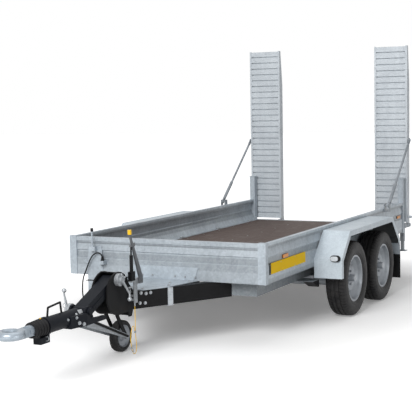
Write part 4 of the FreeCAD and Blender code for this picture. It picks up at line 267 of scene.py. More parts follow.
def add_plate(mesh_edit, outline, thickness, bevel):
    """A flat plate from its outline's places, thickened by a vector, with both rims bevelled."""
    low = [mesh_edit.verts.new(place) for place in outline]
    high = [mesh_edit.verts.new(place + thickness) for place in outline]
    faces = [mesh_edit.faces.new(low[::-1]), mesh_edit.faces.new(high)]
    for index in range(len(outline)):
        after = (index + 1) % len(outline)
        mesh_edit.faces.new((low[index], low[after], high[after], high[index]))
    rims = dict.fromkeys(edge for face in faces for edge in face.edges)
    bmesh.ops.bevel(mesh_edit, geom=list(rims), offset=bevel, segments=2, affect="EDGES", profile=0.6)


shelf_edit = bmesh.new()
add_plate(shelf_edit, [at(x, y, SHELF_LOW) for x, y in SHELF_OUTLINE],
          Vector((0, 0, SHELF_THICK / 1000)), bevel=0.001)
finish_piece(shelf_edit, "drawbar_shelf", zinc_sheet, "trailer")

# Deck board
# One board of film-faced plywood lies on the cross members, between the walls.
# It is dark brown, with a fine anti-slip wire pattern pressed into its film, and scuffed to grey.

WIRES_PER_M = 60.0


def plywood_finish():
    """Brown film with the grain showing through, grey scuffs and a wire pattern in relief."""
    finish, tree, shader = new_finish("film_faced_plywood")
    place = own_space(tree)
    grain = cloud_noise(tree, stretched(tree, place, (26.0, 1.6, 26.0)), 2.6, 8.0, 0.7)
    scuff = cloud_noise(tree, place, 7.0, 9.0, 0.75)
    brown = mix_colour(tree, grey_stops(tree, grain, [(0.3, 0.0), (0.7, 1.0)]),
                       (0.066, 0.046, 0.040), (0.125, 0.092, 0.08))
    scuffed = mix_colour(tree, grey_stops(tree, scuff, [(0.52, 0.0), (0.78, 0.55)]),
                         brown, (0.26, 0.23, 0.21))
    wires = [add_node(tree, "ShaderNodeTexWave", {"wave_type": "BANDS", "bands_direction": way},
                      Vector=place, Scale=WIRES_PER_M).outputs["Color"] for way in ("X", "Y")]
    weave = mix_colour(tree, 1.0, *wires, "MULTIPLY")
    set_inputs(tree, shader, Base_Color=scuffed, Normal=bump_node(tree, weave, 0.0006, 0.5),
               Roughness=0.66, Specular_IOR_Level=0.2)
    return finish


dress(plywood_finish(), "deck_board")

# Deck screws
# Zinc-plated countersunk screws hold the board to each cross member, in four columns.
# Their heads stand a hair proud of the film, with a shallow drive recess.

SCREW_COLUMNS = (-735, -260, 260, 735)
SCREW_FIRST_ROW, SCREW_PITCH, SCREW_ROW_COUNT = 90, 346, 11
SCREW_SINK = 2
BOARD_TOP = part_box("deck_board")[1].z * 1000
SCREW_PROFILE = [(0, 0.0075), (0.0022, 0.0075), (0.0027, 0.006), (0.0021, 0.0035)]


def add_turned(mesh_edit, base, axis, profile, sides):
    """A turned form on an axis; the profile is (distance along the axis, radius) in metres."""
    axis = axis.normalized()
    across = axis.orthogonal().normalized()
    third = axis.cross(across)
    rings = []
    for reach, radius in profile:
        ring = []
        for side in range(sides):
            angle = 2 * math.pi * side / sides
            outward = across * math.cos(angle) + third * math.sin(angle)
            ring.append(mesh_edit.verts.new(base + axis * reach + outward * radius))
        rings.append(ring)
    for low, high in zip(rings, rings[1:]):
        for side in range(sides):
            after = (side + 1) % sides
            mesh_edit.faces.new((low[side], low[after], high[after], high[side]))
    mesh_edit.faces.new(rings[0][::-1])
    mesh_edit.faces.new(rings[-1])


bright_zinc = galvanised_finish("bright_zinc_plate", dull=(0.24, 0.26, 0.28), bright=(0.46, 0.48, 0.50),
                                spangles_per_m=140.0, metal=0.45, rough=(0.25, 0.38))
screw_edit = bmesh.new()
for screw_x in SCREW_COLUMNS:
    for row in range(SCREW_ROW_COUNT):
        screw_y = SCREW_FIRST_ROW + SCREW_PITCH * row
        add_turned(screw_edit, at(screw_x, screw_y, BOARD_TOP - SCREW_SINK), Vector((0, 0, 1)),
                   SCREW_PROFILE, sides=14)
finish_piece(screw_edit, "deck_screws", bright_zinc, "trailer", smooth=0.6)

# Ramps
# Each loading ramp is two channel cheeks with folded slats welded between them.
# It is dipped in zinc in one piece and turns on a hinge pin at the rear beam.

zinc_ramp = galvanised_finish("galvanised_ramp", dull=(0.45, 0.49, 0.53), bright=(0.65, 0.70, 0.74),
                              spangles_per_m=90.0, metal=0.12)
dress(zinc_ramp, "ramp_left", "ramp_right")

# Ramp slat webs
# Behind the gap over each slat stands a narrow galvanised web, so that no gap is open.
# It is welded to the folded lips of the slats above and below it.

SIDES = {1: "left", -1: "right"}
RAMP_INNER, RAMP_OUTER = 545.5, 887.5
RAMP_LOW, RAMP_HIGH = 575.0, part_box("ramp_left")[1].z * 1000
SLAT_COUNT, SLAT_TALL = 29, 52.0
WEB_FACE, WEB_TALL, WEB_THICK, WEB_LAP = 3716.0, 20.0, 2.8, 3.5
slat_pitch = (RAMP_HIGH - RAMP_LOW) / SLAT_COUNT
for side, side_name in SIDES.items():
    web_edit = bmesh.new()
    web_inner, web_outer = side * RAMP_INNER, side * RAMP_OUTER
    for slat in range(SLAT_COUNT - 1):
        web_low = RAMP_LOW + slat * slat_pitch + (slat_pitch + SLAT_TALL) / 2 - WEB_LAP
        web_high = web_low + WEB_TALL
        add_plate(web_edit, [at(web_inner, WEB_FACE, web_low), at(web_outer, WEB_FACE, web_low),
                             at(web_outer, WEB_FACE, web_high), at(web_inner, WEB_FACE, web_high)],
                  Vector((0, WEB_THICK / 1000, 0)), bevel=0.0005)
    finish_piece(web_edit, "ramp_slat_webs_" + side_name, zinc_ramp, "ramp_" + side_name)

# Ramp stays
# A telescopic steel stay with a flattened, hooked end holds each ramp upright.
# It turns on a bracket at the wall's top, and its zinc is dark from handling.

stay_zinc = galvanised_finish("galvanised_stay", dull=(0.17, 0.19, 0.21), bright=(0.32, 0.35, 0.38),
                              spangles_per_m=90.0, metal=0.2)
dress(stay_zinc, "stay_left", "stay_right", "stay_brackets")

# Wheel discs
# Pressed steel discs in deep rims, sprayed in silver paint that road dust has dulled.
# They are bolted to the hubs, and the jockey wheel's disc has the same paint.


def painted_finish(name, low, high, rough, metal=0.0, coat=0.0, gloss=0.5):
    """Sprayed paint or moulded plastic in two close tones, with dust and a fine orange peel."""
    finish, tree, shader = new_finish(name)
    place = own_space(tree)
    dust = cloud_noise(tree, place, 9.0, 7.0, 0.65)
    colour = mix_colour(tree, grey_stops(tree, dust, [(0.35, 0.0), (0.72, 1.0)]), low, high)
    set_inputs(tree, shader, Base_Color=colour, Metallic=metal, Coat_Weight=coat, Specular_IOR_Level=gloss,
               Roughness=grey_stops(tree, dust, [(0.3, rough), (0.8, rough + 0.16)]),
               Normal=bump_node(tree, cloud_noise(tree, place, 240.0, 2.0), 0.0003, 0.3))
    return finish


wheel_paint = painted_finish("silver_wheel_paint", (0.30, 0.32, 0.35), (0.42, 0.45, 0.48),
                             rough=0.36, metal=0.35)
dress(wheel_paint, "rim_fl", "rim_fr", "rim_rl", "rim_rr", "jockey_rim")

# Tyres
# Van-size radial tyres of black rubber, with tread grooves, shoulder blocks and sidewall ribs.
# The jockey wheel has a small solid tyre with three grooves, pressed onto its rim.

# How deep a cut goes into plain rubber, into the shoulder and into the rib beside the middle groove.
PLAIN, SHOULDER, RIB = 0, 1, 2
CUT_DEPTH = {PLAIN: 0.0, SHOULDER: 6.0, RIB: 3.2}
# Half a section: (distance from the tyre's middle plane, radius, which of these kinds), in millimetres.
ROAD_TYRE = [(75, 200.4, 0), (80, 204, 0), (84, 213, 0), (86.6, 221, 0), (89.2, 223.5, 0), (89.4, 227, 0),
             (88.4, 230, 0), (90.6, 240, 0), (92.2, 252, 0), (92.2, 263, 0), (91, 275, 0), (88.6, 286, 0),
             (89.2, 287.4, 0), (88.4, 289.6, 0), (86.6, 291, 0), (83.6, 300, 0), (79.4, 308.4, 1),
             (73, 315.4, 1), (66, 319.4, 1), (58, 321.8, 1), (43, 323.4, 1), (41.4, 322.8, 1), (40.6, 316, 0),
             (34.4, 316, 0), (33.6, 323.6, 0), (31, 324.2, 2), (18, 324.8, 2), (9, 324.9, 2), (7, 324.2, 0),
             (6.2, 316.4, 0), (0, 316.2, 0)]
JOCKEY_TYRE = [(24, 84.4, 0), (28, 88, 0), (31, 95, 0), (33, 103, 0), (32.4, 110, 0), (29.4, 115, 0),
               (23, 118.4, 0), (15.6, 119.4, 0), (14.8, 116.6, 0), (11.8, 116.6, 0), (11, 119.7, 0),
               (5.4, 119.9, 0), (4.6, 117, 0), (0, 117, 0)]
# The cut at each block of the tread: (share of the pitch, whether it is in the cut).
CUT_EDGES = ((0.0, True), (0.15, True), (0.18, False), (0.97, False))
ROAD_PITCHES, JOCKEY_PITCHES = 64, 18
ROAD_SLANT = 0.05
TREAD_HALF, TREAD_FOOT = 80.0, 290.0
WHEELS = ("wheel_fl", "wheel_fr", "wheel_rl", "wheel_rr")
wheel_places = {joint["child"]: Vector(joint["pos_m"]) for joint in frame["joints"]}


def rubber_finish():
    """Black tyre rubber with road dust in cloudy patches."""
    finish, tree, shader = new_finish("tyre_rubber")
    place = own_space(tree)
    dust = grey_stops(tree, cloud_noise(tree, place, 14.0, 8.0, 0.7), [(0.42, 0.0), (0.8, 1.0)])
    set_inputs(tree, shader, Base_Color=mix_colour(tree, dust, (0.010, 0.010, 0.011), (0.040, 0.038, 0.037)),
               Normal=bump_node(tree, cloud_noise(tree, place, 420.0, 2.0), 0.0005, 0.4),
               Roughness=0.62, Specular_IOR_Level=0.3)
    return finish


def moulded_tyre(name, half_section, pitches, slant, wheel, node):
    """A tyre round its wheel's axis; cuts go into the tread at each pitch and slant across it."""
    section = half_section + [(-across, radius, kind) for across, radius, kind in half_section[-2::-1]]
    place = wheel_places[wheel]
    mesh_edit = bmesh.new()
    rings = []
    for pitch in range(pitches):
        for share, in_cut in CUT_EDGES:
            angle = 2 * math.pi * (pitch + share) / pitches
            ring = []
            for across, radius, kind in section:
                cut = in_cut and not (kind == RIB and pitch % 2)
                reach = (radius - (CUT_DEPTH[kind] if cut else 0.0)) / 1000
                turned = angle + (slant * across / TREAD_HALF if radius > TREAD_FOOT else 0.0)
                ring.append(mesh_edit.verts.new(place + Vector((across / 1000, reach * math.cos(turned),
                                                                reach * math.sin(turned)))))
            rings.append(ring)
    for ring, following in zip(rings, rings[1:] + rings[:1]):
        for index in range(len(section)):
            after = (index + 1) % len(section)
            mesh_edit.faces.new((ring[index], ring[after], following[after], following[index]))
    tyre = finish_piece(mesh_edit, name, tyre_rubber, wheel, smooth=0.5)
    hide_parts(node)


tyre_rubber = rubber_finish()
for wheel in WHEELS:
    corner = wheel[-2:]
    moulded_tyre("moulded_tyre_" + corner, ROAD_TYRE, ROAD_PITCHES, ROAD_SLANT, wheel, "tyre_" + corner)
moulded_tyre("moulded_jockey_tyre", JOCKEY_TYRE, JOCKEY_PITCHES, 0.0, "jockey_wheel", "jockey_tyre")

# Valve stems
# A black rubber snap-in valve with a screwed cap stands in each road wheel's disc.
# It is pulled through the disc from behind and leans a little towards the hub.

VALVE_OUT, VALVE_UP = 12.5, 166
VALVE_LEAN = -0.25
VALVE_PROFILE = [(0, 0.0085), (0.006, 0.0085), (0.009, 0.0055), (0.026, 0.0045), (0.027, 0.0052),
                 (0.036, 0.005), (0.038, 0.003)]
soft_rubber = painted_finish("moulded_rubber", (0.010, 0.010, 0.011), (0.022, 0.022, 0.023),
                             rough=0.55, gloss=0.12)
for wheel in WHEELS:
    side = 1 if wheel_places[wheel].x > 0 else -1
    valve_edit = bmesh.new()
    add_turned(valve_edit, wheel_places[wheel] + Vector((side * VALVE_OUT, 0, VALVE_UP)) / 1000,
               Vector((side, 0, VALVE_LEAN)), VALVE_PROFILE, sides=14)
    finish_piece(valve_edit, "valve_" + wheel[-2:], soft_rubber, wheel, smooth=0.6)

# Mudflaps and bellows
# Both are moulded black rubber; the flaps hang from their brackets behind the rear wheels.
# The bellows keeps dirt off the sliding overrun tube and is clipped on at both ends.

dress(soft_rubber, "mudflaps", "bellows")

# Drawbar beams, hub, lift handle and jockey fork
# Cut and folded steel plate, tube and rod, welded and sprayed in satin black.
# The two beams run from the hub back to the chassis rails; the brake's gas strut is black too.

black_paint = painted_finish("satin_black_paint", (0.003, 0.003, 0.0035), (0.008, 0.008, 0.009),
                             rough=0.42, gloss=0.12)
dress(black_paint, "drawbar_hub", "drawbar_beams", "lift_handle", "jockey_fork", "brake_strut", "tie_strut")

# Drawbar arm and coupling head
# Welded steel boxes between the two toothed joints that set the eye's height.
# They are sprayed in anthracite, which is a little bluer than the black of the beams.

arm_paint = painted_finish("anthracite_paint", (0.004, 0.005, 0.008), (0.009, 0.011, 0.015),
                           rough=0.48, gloss=0.12)
dress(arm_paint, "drawbar_arm", "drawbar_head")

# Tow eye
# A forged steel ring on a round shank, which slides in the overrun tube.
# It has no paint, only a thin, smooth skin of zinc.

eye_steel = galvanised_finish("bare_eye_steel", dull=(0.22, 0.26, 0.30), bright=(0.38, 0.43, 0.48),
                              spangles_per_m=45.0, metal=0.5, rough=(0.3, 0.42))
dress(eye_steel, "tow_eye")

# Clamps, brake link, snap hook and lashing rings
# Toothed discs, clamping levers, shackles and rings of plated steel, as bright as the deck's screws.
# The clamps press the toothed joints together on a threaded spindle.

dress(bright_zinc, "head_clamp", "hub_clamp", "brake_link", "cord_clip", "lashing_rings")

# Brake lever and its grip
# The lever is flat bar in grey paint, pinned to the link beside the hub.
# A yellow plastic grip is pushed onto its free end.

lever_steel = painted_finish("grey_lever_steel", (0.10, 0.105, 0.115), (0.17, 0.175, 0.185),
                             rough=0.38, metal=0.3)
yellow_plastic = painted_finish("yellow_plastic", (0.80, 0.46, 0.0), (0.88, 0.54, 0.01), rough=0.35)
dress(lever_steel, "brake_lever")
dress(yellow_plastic, "lever_grip")

# Cable stand's knob and wheel chock
# Injection-moulded black plastic with a fine texture.
# The knob is screwed onto the stand's rod, and the chock is clipped under the left rail.

black_plastic = painted_finish("black_plastic", (0.010, 0.010, 0.011), (0.018, 0.018, 0.020),
                               rough=0.42, gloss=0.12)
dress(black_plastic, "stand_knob", "wheel_chock")

# Drawbar bolts
# Zinc-plated hexagon bolts with washers, in four sets.
# They hold the beams to the hub, the shelf to the beams, the gusset to the panel, and the overrun unit.

BEAM_BOLTS = ((-541, 464), (-505, 456), (-471, 459), (-550, 390), (-512, 386))
BEAM_BOLT_FLATS = 16
# The beams' outer sides spread backwards from this place, by this share of the way.
BEAM_START_X, BEAM_START_Y, BEAM_SPREAD = 68, -600, 0.597
BEAM_SIDE_X, BEAM_SIDE_Y = 0.86, -0.51
SHELF_BOLTS = ((255, -60), (205, -300), (95, -500), (150, -180))
SHELF_BOLT_FLATS = 15
GUSSET_BOLTS = ((278, 508), (190, 508), (100, 508))
GUSSET_FACE, GUSSET_BOLT_FLATS = -3, 11
HEAD_SIDE = (0.98, -0.2, 0)
HEAD_BOLTS = [((76.8, -1327, 385), HEAD_SIDE, 17), ((85.2, -1285, 371), HEAD_SIDE, 17),
              ((54.2, -1429, 423), (0.98, 0, 0.19), 12), ((72, -1352, 425), HEAD_SIDE, 13)]
# A bolt's radii and its head's height as shares of its width across flats, and its other heights in metres.
WASHER_SHARE, WASHER_TOP_SHARE = 0.78, 0.74
CORNER_SHARE, HEAD_TOP_SHARE, HEAD_TALL_SHARE, END_SHARE = 0.577, 0.5, 0.42, 0.2
WASHER_SINK, WASHER_EDGE, WASHER_TOP = 0.001, 0.0032, 0.0036
HEAD_FOOT, HEAD_CHAMFER, END_PROUD = 0.0030, 0.001, 0.0012


def add_bolt(mesh_edit, place, normal, flats):
    """A washer, a chamfered hexagon head and the bolt's end; flats is the width in millimetres."""
    wide = flats / 1000
    head_top = WASHER_TOP + wide * HEAD_TALL_SHARE
    add_turned(mesh_edit, place - normal * WASHER_SINK, normal,
               [(0, wide * WASHER_SHARE), (WASHER_EDGE, wide * WASHER_SHARE),
                (WASHER_TOP, wide * WASHER_TOP_SHARE)], sides=20)
    add_turned(mesh_edit, place, normal,
               [(HEAD_FOOT, wide * CORNER_SHARE), (head_top - HEAD_CHAMFER, wide * CORNER_SHARE),
                (head_top, wide * HEAD_TOP_SHARE)], sides=6)
    add_turned(mesh_edit, place, normal,
               [(head_top - HEAD_CHAMFER, wide * END_SHARE), (head_top + END_PROUD, wide * END_SHARE)],
               sides=12)


def bolt_set(name, body, bolts):
    """One piece of several bolts, each of which is (place, the surface's direction, width)."""
    bolt_edit = bmesh.new()
    for place, normal, flats in bolts:
        add_bolt(bolt_edit, at(*place), Vector(normal).normalized(), flats)
    finish_piece(bolt_edit, name, bright_zinc, body, smooth=0.5)


beam_bolts = []
for bolt_y, bolt_z in BEAM_BOLTS:
    bolt_x = BEAM_START_X + BEAM_SPREAD * (bolt_y - BEAM_START_Y)
    for side in SIDES:
        beam_side = (side * BEAM_SIDE_X, BEAM_SIDE_Y, 0)
        beam_bolts.append(((side * bolt_x, bolt_y, bolt_z), beam_side, BEAM_BOLT_FLATS))
bolt_set("beam_bolts", "trailer", beam_bolts)
bolt_set("shelf_bolts", "trailer", [((side * x, y, SHELF_LOW + SHELF_THICK), (0, 0, 1), SHELF_BOLT_FLATS)
                                    for side in SIDES for x, y in SHELF_BOLTS])
bolt_set("gusset_bolts", "trailer", [((side * x, GUSSET_FACE, z), (0, -1, 0), GUSSET_BOLT_FLATS)
                                     for side in SIDES for x, z in GUSSET_BOLTS])
bolt_set("head_bolts", "head", HEAD_BOLTS)

# Blank plates
# A bare plate of brushed aluminium is riveted on the sloping top of the coupling head.
# A smaller one, bare too, stands in front of it.

# Each plate: (x, y and z of its middle, half its length, half its width), in millimetres.
BLANK_PLATES = ((42, -1262, 450.5, 24, 14), (47.5, -1318, 442.6, 10, 7))
HEAD_UP = Vector((0.82, 0, 0.57))
HEAD_DOWNHILL = Vector((0.57, 0, -0.82))
PLATE_THICK = 0.0016
plate_metal = painted_finish("brushed_plate", (0.42, 0.44, 0.46), (0.55, 0.57, 0.59), rough=0.4, metal=0.4)
plate_edit = bmesh.new()
for plate_x, plate_y, plate_z, half_long, half_wide in BLANK_PLATES:
    middle = at(plate_x, plate_y, plate_z)
    along = Vector((0, half_long / 1000, 0))
    slope = HEAD_DOWNHILL * half_wide / 1000
    add_plate(plate_edit, [middle - slope - along, middle + slope - along,
                           middle + slope + along, middle - slope + along],
              HEAD_UP.normalized() * PLATE_THICK, bevel=0.0004)
finish_piece(plate_edit, "blank_plates", plate_metal, "head")

# Clamp linchpins
# A linchpin keeps each clamp's lever tight, with a spring ring of zinc-plated wire through its head.
# Another wire ring hangs from the block below the bellows.

# Each ring: (middle in millimetres, direction of its axis, radius and wire radius in metres).
HUB_RINGS = (((122, -812, 640), (0.8, -0.5, 0.2), 0.017, 0.002),
             ((124, -730, 508), (0.9, 0.3, 0.1), 0.014, 0.0018))
HEAD_RINGS = (((-118, -1205, 470), (0.7, -0.6, 0.3), 0.016, 0.002),
              ((34, -1649, 338), (0.3, -0.9, 0.1), 0.014, 0.0022))
HUB_PIN_FOOT, HUB_PIN_WAY = (96, -812, 622), (1, 0, 0.05)
PIN_PROFILE = [(0, 0.004), (0.03, 0.004), (0.032, 0.007), (0.038, 0.007), (0.04, 0.004)]


def add_ring(mesh_edit, middle, normal, radius, wire, turns=28, sides=10):
    """A closed wire ring round a middle."""
    normal = normal.normalized()
    across = normal.orthogonal().normalized()
    third = normal.cross(across)
    rings = []
    for turn in range(turns):
        angle = 2 * math.pi * turn / turns
        outward = across * math.cos(angle) + third * math.sin(angle)
        ring = []
        for side in range(sides):
            roll = 2 * math.pi * side / sides
            ring.append(mesh_edit.verts.new(middle + outward * (radius + wire * math.cos(roll))
                                            + normal * wire * math.sin(roll)))
        rings.append(ring)
    for low, high in zip(rings, rings[1:] + rings[:1]):
        for side in range(sides):
            after = (side + 1) % sides
            mesh_edit.faces.new((low[side], low[after], high[after], high[side]))


hub_pin_edit = bmesh.new()
add_turned(hub_pin_edit, at(*HUB_PIN_FOOT), Vector(HUB_PIN_WAY), PIN_PROFILE, sides=14)
for pin_edit, name, body, rings in ((hub_pin_edit, "hub_linchpin", "trailer", HUB_RINGS),
                                    (bmesh.new(), "head_linchpin", "head", HEAD_RINGS)):
    for middle, normal, radius, wire in rings:
        add_ring(pin_edit, at(*middle), Vector(normal), radius, wire)
    finish_piece(pin_edit, name, bright_zinc, body, smooth=0.6)

# Clamp ball knobs
# Zinc-plated steel balls are screwed onto the free ends of the two clamp levers.
# A small flat at each pole is left from turning them.

BALLS = (("head_lever_ball", (-111.5, -1221, 579), "head"),
         ("hub_lever_ball", (116, -727, 450), "trailer"))
BALL_RADIUS, BALL_FLAT, BALL_STEPS = 0.0165, 0.0015, 12
ball_profile = []
for step in range(BALL_STEPS + 1):
    angle = math.pi * step / BALL_STEPS
    ball_profile.append((BALL_RADIUS - BALL_RADIUS * math.cos(angle),
                         max(BALL_FLAT, BALL_RADIUS * math.sin(angle))))
for ball_name, ball_place, ball_body in BALLS:
    ball_edit = bmesh.new()
    ball_foot = at(*ball_place) - Vector((0, 0, BALL_RADIUS))
    add_turned(ball_edit, ball_foot, Vector((0, 0, 1)), ball_profile, sides=20)
    finish_piece(ball_edit, ball_name, bright_zinc, ball_body, smooth=0.9)

# Bellows mark
# A raised dot of yellow plastic marks the top of the bellows.
# It stands on the rearmost fold, next to the coupling head.

DOT_FOOT, DOT_WAY = (-4, -1660, 470.5), (-0.06, -0.5, 0.85)
DOT_PROFILE = [(0, 0.006), (0.0022, 0.0055), (0.003, 0.003)]
dot_edit = bmesh.new()
add_turned(dot_edit, at(*DOT_FOOT), Vector(DOT_WAY), DOT_PROFILE, sides=16)
finish_piece(dot_edit, "bellows_mark", yellow_plastic, "head", smooth=0.8)

# Power cable
# A seven-core rubber cable hangs from its plug, parked in the socket on the stand, down to the beam.
# It enters the right-hand beam through a moulded sleeve, and another one stands on the plug.

POWER_ROUTE = [(-285.9, -282.5, 415), (-336.4, -312, 414.5), (-390, -334, 396), (-445, -292, 350),
               (-520, -225, 300), (-600, -150, 262), (-668, -80, 250), (-722, -46, 272), (-742, -33, 328),
               (-743, -30, 392), (-732, -31, 460), (-700, -30, 526), (-668, -31, 600), (-628, -33, 656),
               (-578, -31, 670), (-545, -30, 648), (-545, -30, 610)]
POWER_DIAMETER = 0.011
BOOT_FOOT = (-545, -30, 606)
BOOT_PROFILE = [(0, 0.0148), (0.004, 0.0150), (0.005, 0.0128), (0.009, 0.0125), (0.010, 0.0138),
                (0.014, 0.0128), (0.015, 0.0108), (0.019, 0.0104), (0.020, 0.0116), (0.024, 0.0106),
                (0.025, 0.0088), (0.030, 0.0084), (0.031, 0.0092), (0.034, 0.0070)]
SLEEVE_SINK = 0.004
SLEEVE_PROFILE = [(0, 0.0105), (0.006, 0.0105), (0.007, 0.0088), (0.010, 0.0088), (0.011, 0.0097),
                  (0.015, 0.0092), (0.016, 0.0078), (0.019, 0.0078), (0.020, 0.0085), (0.024, 0.008),
                  (0.025, 0.0068), (0.030, 0.0066), (0.034, 0.0058)]


def cord_line(name, route, diameter, finish, body, slot, *nodes):
    """A cord as one smooth line whose control points are its route."""
    curve = bpy.data.curves.new(name, "CURVE")
    curve.dimensions = "3D"
    curve.bevel_depth = diameter / 2
    curve.bevel_resolution = 4
    curve.resolution_u = 8
    curve.use_fill_caps = True
    line = curve.splines.new("NURBS")
    line.points.add(len(route) - 1)
    for point, place in zip(line.points, route):
        point.co = (*at(*place), 1.0)
    line.order_u = 3
    line.use_endpoint_u = True
    curve.materials.append(finish)
    cord = bpy.data.objects.new(name, curve)
    bpy.context.scene.collection.objects.link(cord)
    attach(cord, body)
    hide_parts(*nodes)
    return cord


dress(soft_rubber, "cable_plug")
boot_edit = bmesh.new()
add_turned(boot_edit, at(*BOOT_FOOT), Vector((0, 0, 1)), BOOT_PROFILE, sides=20)
plug_boot = finish_piece(boot_edit, "plug_boot", soft_rubber, "trailer", smooth=0.6)
gland_end = at(*POWER_ROUTE[0])
gland_way = (at(*POWER_ROUTE[1]) - gland_end).normalized()
sleeve_edit = bmesh.new()
add_turned(sleeve_edit, gland_end - gland_way * SLEEVE_SINK, gland_way, SLEEVE_PROFILE, sides=20)
power_sleeve = finish_piece(sleeve_edit, "power_sleeve", soft_rubber, "trailer", smooth=0.6)
power_cable = cord_line("power_line", POWER_ROUTE, POWER_DIAMETER, soft_rubber, "trailer", "rubber",
                        "power_cable")

# Breakaway cord
# A thin steel cable in a yellow plastic cover hangs from the brake link in a loop.
# It carries a ring and a snap hook, and pulls the brake on if the trailer breaks away.

BREAKAWAY_ROUTE = [(104, -636, 383), (104, -636, 150), (107, -629, 104), (110, -634, 62), (112, -655, 36),
                   (114, -684, 38), (115, -706, 66), (115, -719, 110), (115, -726, 158), (113, -714, 204),
                   (109, -684, 248), (104, -649, 236), (104, -649, 202)]
BREAKAWAY_DIAMETER = 0.005
breakaway_cord = cord_line("breakaway_line", BREAKAWAY_ROUTE, BREAKAWAY_DIAMETER, yellow_plastic, "trailer",
                           "yellow_plastic", "safety_cord")

# Cable stand fittings
# A black plastic bar and a short hook are screwed to the edge of the cable stand.
# They hold what is parked there.

BAR_FOOT, HOOK_FOOT = (-693, -6, 436), (-700, -6, 436)
BAR_PROFILE = [(0, 0.003), (0.001, 0.004), (0.061, 0.004), (0.062, 0.003)]
HOOK_PROFILE = [(0, 0.006), (0.004, 0.006), (0.005, 0.0035), (0.03, 0.0035), (0.032, 0.002)]
stand_edit = bmesh.new()
add_turned(stand_edit, at(*BAR_FOOT), Vector((1, 0, 0)), BAR_PROFILE, sides=14)
add_turned(stand_edit, at(*HOOK_FOOT), Vector((0, -1, 0)), HOOK_PROFILE, sides=14)
finish_piece(stand_edit, "stand_hooks", black_plastic, "trailer", smooth=0.7)

# Side plates
# A thin yellow enamelled plate, with a black strip at its front end, lies flat on each wall.
# Two rows of zinc-plated rivets hold it.

SIGN_FRONT, SIGN_REAR, SIGN_LOW, SIGN_HIGH = 73, 818, 547, 632
SIGN_STRIP, SIGN_BACK, SIGN_THICK = 32, 866.6, 0.003
RIVET_X, RIVET_ROWS = 869.0, (SIGN_LOW + 10, SIGN_HIGH - 10)
RIVET_COLUMNS = (SIGN_FRONT + 12, 300, 590, SIGN_REAR - 12)
RIVET_PROFILE = [(0, 0.004), (0.0012, 0.0036), (0.002, 0.002)]
sign_yellow = painted_finish("sign_yellow", (0.90, 0.56, 0.0), (0.96, 0.62, 0.003), rough=0.55, gloss=0.2)
sign_pieces = (("side_plate_", SIGN_FRONT + SIGN_STRIP, SIGN_REAR, sign_yellow, "yellow_plastic"),
               ("side_strip_", SIGN_FRONT, SIGN_FRONT + SIGN_STRIP, black_plastic, "black_plastic"))
for side, side_name in SIDES.items():
    for piece_name, front, rear, finish, slot in sign_pieces:
        sign_corners = ((front, SIGN_LOW), (rear, SIGN_LOW), (rear, SIGN_HIGH), (front, SIGN_HIGH))
        sign_edit = bmesh.new()
        add_plate(sign_edit, [at(side * SIGN_BACK, y, z) for y, z in sign_corners],
                  Vector((side * SIGN_THICK, 0, 0)), bevel=0.0006)
        finish_piece(sign_edit, piece_name + side_name, finish, "trailer")
rivet_edit = bmesh.new()
for side in SIDES:
    for rivet_y in RIVET_COLUMNS:
        for rivet_z in RIVET_ROWS:
            add_turned(rivet_edit, at(side * RIVET_X, rivet_y, rivet_z), Vector((side, 0, 0)),
                       RIVET_PROFILE, sides=12)
finish_piece(rivet_edit, "side_plate_rivets", bright_zinc, "trailer", smooth=0.7)

# Front lamps and side markers
# A front lamp is a clear moulded lens in a black housing, screwed to the front of each mudguard.
# Amber side markers on thin black bases are screwed to the walls, one near each end.

ACROSS, BACK, UP = Vector((1, 0, 0)), Vector((0, 1, 0)), Vector((0, 0, 1))
# Half the width, half the height, the corners' radius and the thickness, in millimetres.
LAMP_BASE, LAMP_LENS, MARKER_BASE = (44, 27, 26, 16), (33, 20, 18, 11), (52, 14.5, 4, 4)
LAMP_X, LAMP_Y, LAMP_Z = 1056, 1020, 555
LENS_AHEAD, LENS_INSET = 14, 6
MARKER_X, MARKER_PLACES, MARKER_Z = 859, (402, 3465), 653
CORNER_STEPS = 6


def rounded_outline(half_wide, half_tall, corner):
    """Places round a rectangle with round corners, as (across, up) in millimetres."""
    outline = []
    for way_x, way_z, start in ((1, 1, 0), (-1, 1, 90), (-1, -1, 180), (1, -1, 270)):
        for step in range(CORNER_STEPS + 1):
            angle = math.radians(start + 90 * step / CORNER_STEPS)
            outline.append((way_x * (half_wide - corner) + corner * math.cos(angle),
                            way_z * (half_tall - corner) + corner * math.sin(angle)))
    return outline


def lamp_form(name, middle, across, out, size, finish, bevel):
    """A rounded, upright lamp body or lens on a surface; across and out are its directions."""
    half_wide, half_tall, corner, thick = size
    lamp_edit = bmesh.new()
    add_plate(lamp_edit, [middle + (across * wide + UP * tall) / 1000
                          for wide, tall in rounded_outline(half_wide, half_tall, corner)],
              out * thick / 1000, bevel)
    return finish_piece(lamp_edit, name, finish, "trailer", smooth=0.6)


